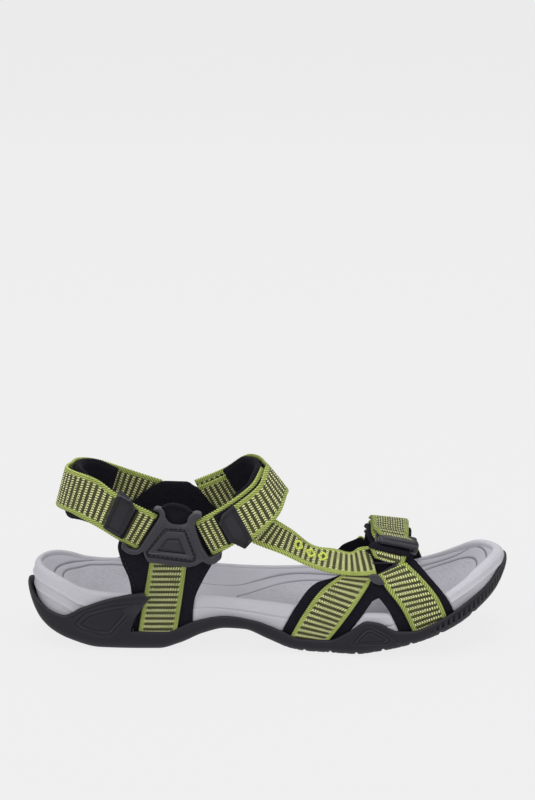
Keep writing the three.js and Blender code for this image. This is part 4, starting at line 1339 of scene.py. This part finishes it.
for word, (band, hinge, way) in CLOSURES.items():
    slide = flap_shift(word)
    bare = {"heel": 0.012, "ankle": 0.0}[word]
    finish_piece(ribbon(f"{word}_base_strap", band, bare, FOLD + 0.05, MAT["webbing"], phase=0.5), "root",
                 "webbing", f"{word}_base_webbing")
    finish_piece(ribbon(f"{word}_loop_tape", band, 0.075, FOLD - 0.05, MAT["fastener"], thickness=PATCH,
                        offset=(WEBBING + PATCH) / 2 + GAP, widen=-2, relief=fuzz, columns=40), "root",
                 "fastener", f"{word}_loop_patch")
    finish_piece(ribbon(f"{word}_hook_tape", band, TAB_START + 0.02, FOLD - 0.08, MAT["fastener"],
                        thickness=PATCH, offset=(WEBBING + PATCH) / 2 + 2 * GAP + PATCH, widen=-1.4,
                        shift=slide, relief=fuzz, columns=40), f"{word}_flap", "fastener",
                 f"{word}_hook_patch")
    closing = ribbon(f"{word}_closing_strap", band, TAB_END - 0.012, 1, MAT["webbing"], offset=closed_over,
                     shift=slide, widen=flap_growth(word))
    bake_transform(closing)
    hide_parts(f"{word}_closure_webbing", f"{word}_flap_webbing")
    finish_piece(pull_tab(word, band), f"{word}_flap", "plastic", f"{word}_pull_tab")
    pad = finish_piece(pad_piece(word, band), "root", "neoprene", f"{word}_pad")

finish_piece(ribbon("ankle_inner_layer", ankle, 0.905, 1, MAT["webbing"], offset=-WEBBING - GAP, shift=-1.2,
                    phase=0.3), "root", "webbing")

# ------------------------------------------------------------------ hub plates
LEFT_BAR = [(-67, 90), (-63.5, 89), (-63, 87), (-63.5, 85), (-75.5, 66), (-78, 65.5), (-81.5, 66.5),
            (-85, 70.5), (-86, 67), (-83.5, 64), (-80, 62.5), (-76, 62.5), (-73, 64.5), (-69.5, 69),
            (-60.5, 82.5), (-59.5, 86), (-60, 89), (-61.5, 91), (-65, 92)]
RIGHT_BAR = [(-38.5, 88), (-41.5, 89), (-45, 87.5), (-47, 84.5), (-46.5, 79.5), (-38.5, 58.5), (-35, 56.5),
             (-31, 56.5), (-27, 60), (-26.5, 64.5), (-32, 61.5), (-34.5, 61), (-38, 66.5), (-41, 74.5),
             (-42.5, 80), (-42, 83.5), (-38.5, 86)]
HUB_BODY = [(-60.5, 85.5), (-58.5, 82.5), (-55.5, 81), (-50.5, 80.5), (-47.5, 81.5), (-45.5, 84), (-38, 60),
            (-40.5, 57), (-43, 55), (-46.5, 54), (-70, 57), (-71.5, 59.5), (-73, 63.5), (-74, 66),
            (-62.5, 84)]
LIP = [(-62.5, 78), (-62.5, 90.5), (-61, 92), (-58.5, 93), (-54.5, 93.5), (-51, 92.5), (-47.5, 91.5),
       (-44, 88.5), (-43, 78)]
LIP_EDGE = [(-62, 90.5, 0.4), (-58.5, 92.5, 0.4), (-54.5, 92.5, 0.4), (-51, 92, 0.4), (-47.5, 90.5, 0.4),
            (-44, 88, 0.4)]
LIP_SEAM = [(-57.5, 89, 0.35), (-54.5, 89.5, 0.35), (-51, 89, 0.35), (-47.5, 88, 0.35)]
BRIDGE = [(-61, 86.5), (-59.5, 85.5), (-58, 83), (-55.5, 81.5), (-50.5, 81), (-47.5, 82), (-46, 84.5),
          (-45, 76), (-37.5, 58.5), (-42.5, 55.5), (-45.5, 55), (-70, 58), (-72, 61), (-73, 64.5), (-62.5, 81)]
CENTRE_HOLE = [(-60.5, 79), (-48, 78), (-41.5, 61), (-42.5, 58.5), (-45, 57.5), (-70.5, 61), (-71.5, 64)]
RIDGE_OUTER = [(-59, 77), (-49, 76.5), (-43.5, 61), (-45, 59.5), (-69, 63), (-70, 64)]
RIDGE_HOLE = [(-59, 73), (-51.5, 73), (-48, 63), (-65, 65)]
RIDGE_CORE = [(-58.5, 71.5), (-52.5, 71.5), (-50, 64.5), (-62.5, 66)]
GROOVE_PATH = [(-60, 78), (-48.5, 77.5), (-42.5, 60.5), (-45, 58.5), (-70, 62), (-71, 64), (-60, 78)]


def hub(word, side):
    """Moulded hub plate with its sewing, and the soft collar at its top."""
    face = HUB_FACE if side < 0 else HUB_FACE - MEDIAL_SHIFT
    tall = 1.0 if side < 0 else INNER_HUB_HEIGHT

    def place(flat):
        high = flat[:, 1] * tall
        turn = smoothstep(70, 92, flat[:, 1]) * (side > 0)
        return np.column_stack([flat[:, 0] - 4 * turn, side * (face + flat[:, 2]), high - 4.6 * turn])
    layers = (("body", [HUB_BODY], -2.4, 0.9, 0.5, 2.0),
              ("left", [LEFT_BAR], -2.4, 2.9, 1.0, 1.6),
              ("right", [RIGHT_BAR], -2.4, 2.9, 1.0, 1.6),
              ("bridge", [BRIDGE, CENTRE_HOLE], 0.4, 2.3, 0.5, 1.2),
              ("ridge", [RIDGE_OUTER, RIDGE_HOLE], 0.4, 2.7, 0.5, 1.0),
              ("core", [RIDGE_CORE], 0.4, 2.2, 0.4, 0.6))
    plates = [moulded(f"{word}_hub_{part}", loops, low, high, bevel, place, MAT["plastic"], radius)
              for part, loops, low, high, bevel, radius in layers]
    plate = joined(f"{word}_hub_moulding", plates)
    finish_piece(plate, "root", "plastic", f"{word}_hub_plate")
    line = np.array([(x, z, 1.05) for x, z in GROOVE_PATH])
    path = resample(place(line), 160)
    sewn = stitches(f"{word}_hub_sewing", path, np.tile([0, side, 0], (160, 1)), MAT["black_thread"],
                    length=1.8, gap=0.9, radius=0.32)
    sewn.parent = plate
    lip = moulded(f"{word}_hub_lip", [LIP], -2.6, 0.1, 0.5, place, MAT["neoprene"], 1.6)
    edge = tube("edge", place(resample(np.array(LIP_EDGE), 40)), 1.0, MAT["neoprene"])
    seam = stitches("seam", place(resample(np.array(LIP_SEAM), 40)), np.tile([0, side, 0], (40, 1)),
                    MAT["black_thread"], length=0.8, gap=0.8, radius=0.3)
    finish_piece(joined(f"{word}_hub_collar", [lip, edge, seam]), "root", "neoprene")


for word, side, *_ in SIDES:
    hub(word, side)


# ------------------------------------------------------------------ rings and the ladder-lock buckle
def ring_piece(word, side):
    """Triangular wire with a moulded keeper where the two legs meet."""
    outer = [(62.2, 47.2), (65.2, 47.2), (77.6, 55.2), (77.6, 56.0), (61.6, 56.0)]
    inner = [(63.2, 48.6), (65, 48.6), (75.4, 55.1), (62.8, 55.1)]
    keeper = [(59.5, 48), (61.5, 49.5), (65.5, 49), (69.5, 44), (66.5, 43), (62, 44.5)]
    tilt = np.array(Matrix.Rotation(side * math.radians(30), 3, "X"))

    def wire(flat):
        local = np.column_stack([flat[:, 0] - 70, side * (flat[:, 2] - 4.4), flat[:, 1] - 52])
        return local @ tilt.T + np.array([70, side * 39.6, 53])

    def block(flat):
        out = 40.9 if side < 0 else 40.3
        return np.column_stack([flat[:, 0], side * (out + flat[:, 2] - 0.25 * (flat[:, 1] - 46)), flat[:, 1]])
    parts = [moulded(f"{word}_ring_wire", [outer, inner], 0, 1.2, 0.4, wire, MAT["rubber"], 1.0),
             moulded(f"{word}_ring_keeper", [keeper], -1.0, 1.5, 0.8, block, MAT["plastic"], 1.4)]
    return finish_piece(joined(f"{word}_triangle_ring", parts), "root", "plastic", f"{word}_ring")


for word, side, *_ in SIDES:
    ring_piece(word, side)

BUCKLE_CENTRE = (76.5, -20, 62.3)
BUCKLE_TURN = np.array(Matrix.Rotation(math.radians(11), 3, "Y") @ Matrix.Rotation(math.radians(20), 3, "X"))


def on_toe(flat):
    """From the buckle's own axes to the frame's."""
    return np.asarray(flat) @ BUCKLE_TURN.T + np.array(BUCKLE_CENTRE)


def rectangle(width, length, x=0.0, y=0.0):
    """Corners of a rectangle round (x, y)."""
    return [(x + sx * width / 2, y + sy * length / 2) for sx, sy in ((-1, -1), (1, -1), (1, 1), (-1, 1))]


gloss = MAT["gloss"]
buckle = joined("ladder_lock", [
    moulded("buckle_plate", [rectangle(25.4, 15.5, 0, -1.75), rectangle(19, 4.4, 0, -3.8),
                             rectangle(19, 2.8, 0, 2.4)], -0.6, 1.6, 0.7, on_toe, gloss, 2.4),
    moulded("buckle_rail_right", [rectangle(2.6, 6.4, 11.6, -5.6)], 0.2, 5.2, 1.1, on_toe, gloss, 1.1)])
finish_piece(buckle, "buckle", "plastic", "buckle_frame")
LEVER = [(-10.6, -9.6), (12.2, -9.6), (12.9, -8.2), (12.3, -4.6), (-10.0, -4.4), (-12.2, -5.6)]
lever = joined("buckle_bar", [
    moulded("lever_plate", [LEVER], 3.2, 8.0, 1.8, on_toe, gloss, 1.4),
    moulded("lever_grip", [rectangle(19, 1.6, 0.6, -7.2)], 7.6, 8.3, 0.35, on_toe, gloss, 0.7)])
finish_piece(lever, "buckle", "plastic", "buckle_lever")
wrap_line = [(on_toe((-10.6, y, z)), on_toe((9.4, y, z))) for y, z in ((-5.8, 4.2), (-2.4, 4.7))]
for t in (0.384, 0.448):
    reach = toe.frame(t)[4][0]
    wrap_line.append((toe.point(t, -reach, tail_lift(t))[0], toe.point(t, reach, tail_lift(t))[0]))
WRAP = Band(wrap_line, 1)
# The threaded strap takes the tail copy of the webbing, darkened by painted shade.
threaded = ribbon("threaded_strap", WRAP, 0, 1, MAT["tail"])
finish_piece(threaded, "buckle", "webbing")

# ------------------------------------------------------------------ sewing
def edge_row(band, edge, start, end, inset, out):
    """Stitches along a band's lower (-1) or upper (1) edge, so far in from it and so far outwards."""
    t = np.linspace(start, end, 90)
    path = band.point(t, edge * (band.frame(t)[4] - inset), np.full(90, out))
    return stitches("row", path, band.frame(t)[3], MAT["black_thread"])


for word, side, lining, *_ in SIDES:
    rows = [edge_row(lining, edge, 0.03, 0.8, 2.3, 1.3) for edge in (-1, 1)]
    finish_piece(joined(f"{word}_hub_seam", rows), "root", "neoprene")


def diamond(band, t, v, size, w):
    """Four satin-stitched sides of a small diamond."""
    middle, along, across, out, _ = (row[0] for row in band.frame(t))
    centre = middle + across * v + out * w
    tips = [centre + along * size * a + across * size * b * 1.25
            for a, b in ((1, 0), (0, 1), (-1, 0), (0, -1))]
    points, faces = [], []
    for a, b in zip(tips, tips[1:] + tips[:1]):
        for k in range(7):
            f = (k + 0.5) / 7
            middle_point = a + (b - a) * f
            reach = unit(b - a) * 0.34 + np.cross(unit(b - a), out) * 0.75
            made, skin = capsule(middle_point - reach, middle_point + reach, 0.24, out)
            faces += [[i + len(points) for i in face] for face in skin]
            points += made
    return mesh_object("diamond", points, faces, MAT["lime_thread"])


grid = np.linspace(0, 1, 200)
motif = joined("instep_motif", [
    diamond(instep, np.interp(x, instep.frame(grid)[0][:, 0], grid), v, 2.7, 1.25)
    for x, v in ((17.5, 1.6), (25.0, 0.9), (32.5, 0.9))])
finish_piece(motif, "root", "webbing")

# ------------------------------------------------------------------ stage, light and camera
floor_shader = Shader("paper", 0.9, Specular_IOR_Level=0.0, Emission_Color=(1, 1, 1, 1),
                      Emission_Strength=0.81)
floor_shader.colour(floor_shader.mix(floor_shader.noise(3.0, 2.0), srgb(62, 62, 62), srgb(60, 60, 60)))
bpy.ops.mesh.primitive_plane_add(size=12, location=(0, 2.0, -0.0006))
floor = bpy.context.object
floor.name = "floor"
floor.data.materials.append(floor_shader.material)

world = bpy.data.worlds.new("studio")
bpy.context.scene.world = world
world.use_nodes = True
world.node_tree.nodes["Background"].inputs["Color"].default_value = (1, 1, 1, 1)
world.node_tree.nodes["Background"].inputs["Strength"].default_value = 0.42


def lamp(name, place, size, watts, target=(0, 0, 0.05)):
    """A soft box that faces the target."""
    light = bpy.data.lights.new(name, "AREA")
    light.shape = "RECTANGLE"
    light.size, light.size_y = size
    light.energy = watts
    holder = bpy.data.objects.new(name, light)
    bpy.context.scene.collection.objects.link(holder)
    holder.location = place
    holder.rotation_euler = (Vector(target) - Vector(place)).to_track_quat("-Z", "Y").to_euler()


lamp("overhead", (0, 0.1, 1.6), (1.6, 1.4), 17)
lamp("left_soft", (-1.3, -0.9, 1.0), (1.0, 1.2), 8)
lamp("right_soft", (1.3, -0.8, 0.9), (1.0, 1.2), 6)
lamp("back_soft", (0, 1.5, 0.9), (2.0, 1.0), 4)
lamp("front_soft", (0, -1.6, 0.35), (1.6, 0.5), 4.2)

camera = bpy.data.cameras.new("camera")
camera.lens = 111.2
camera.sensor_width = 36
eye = bpy.data.objects.new("camera", camera)
bpy.context.scene.collection.objects.link(eye)
eye.location = (0, -1.4095, 0.5580)
eye.rotation_euler = (math.radians(73.65), 0, 0)
bpy.context.scene.camera = eye
bpy.context.scene.view_settings.view_transform = "Standard"
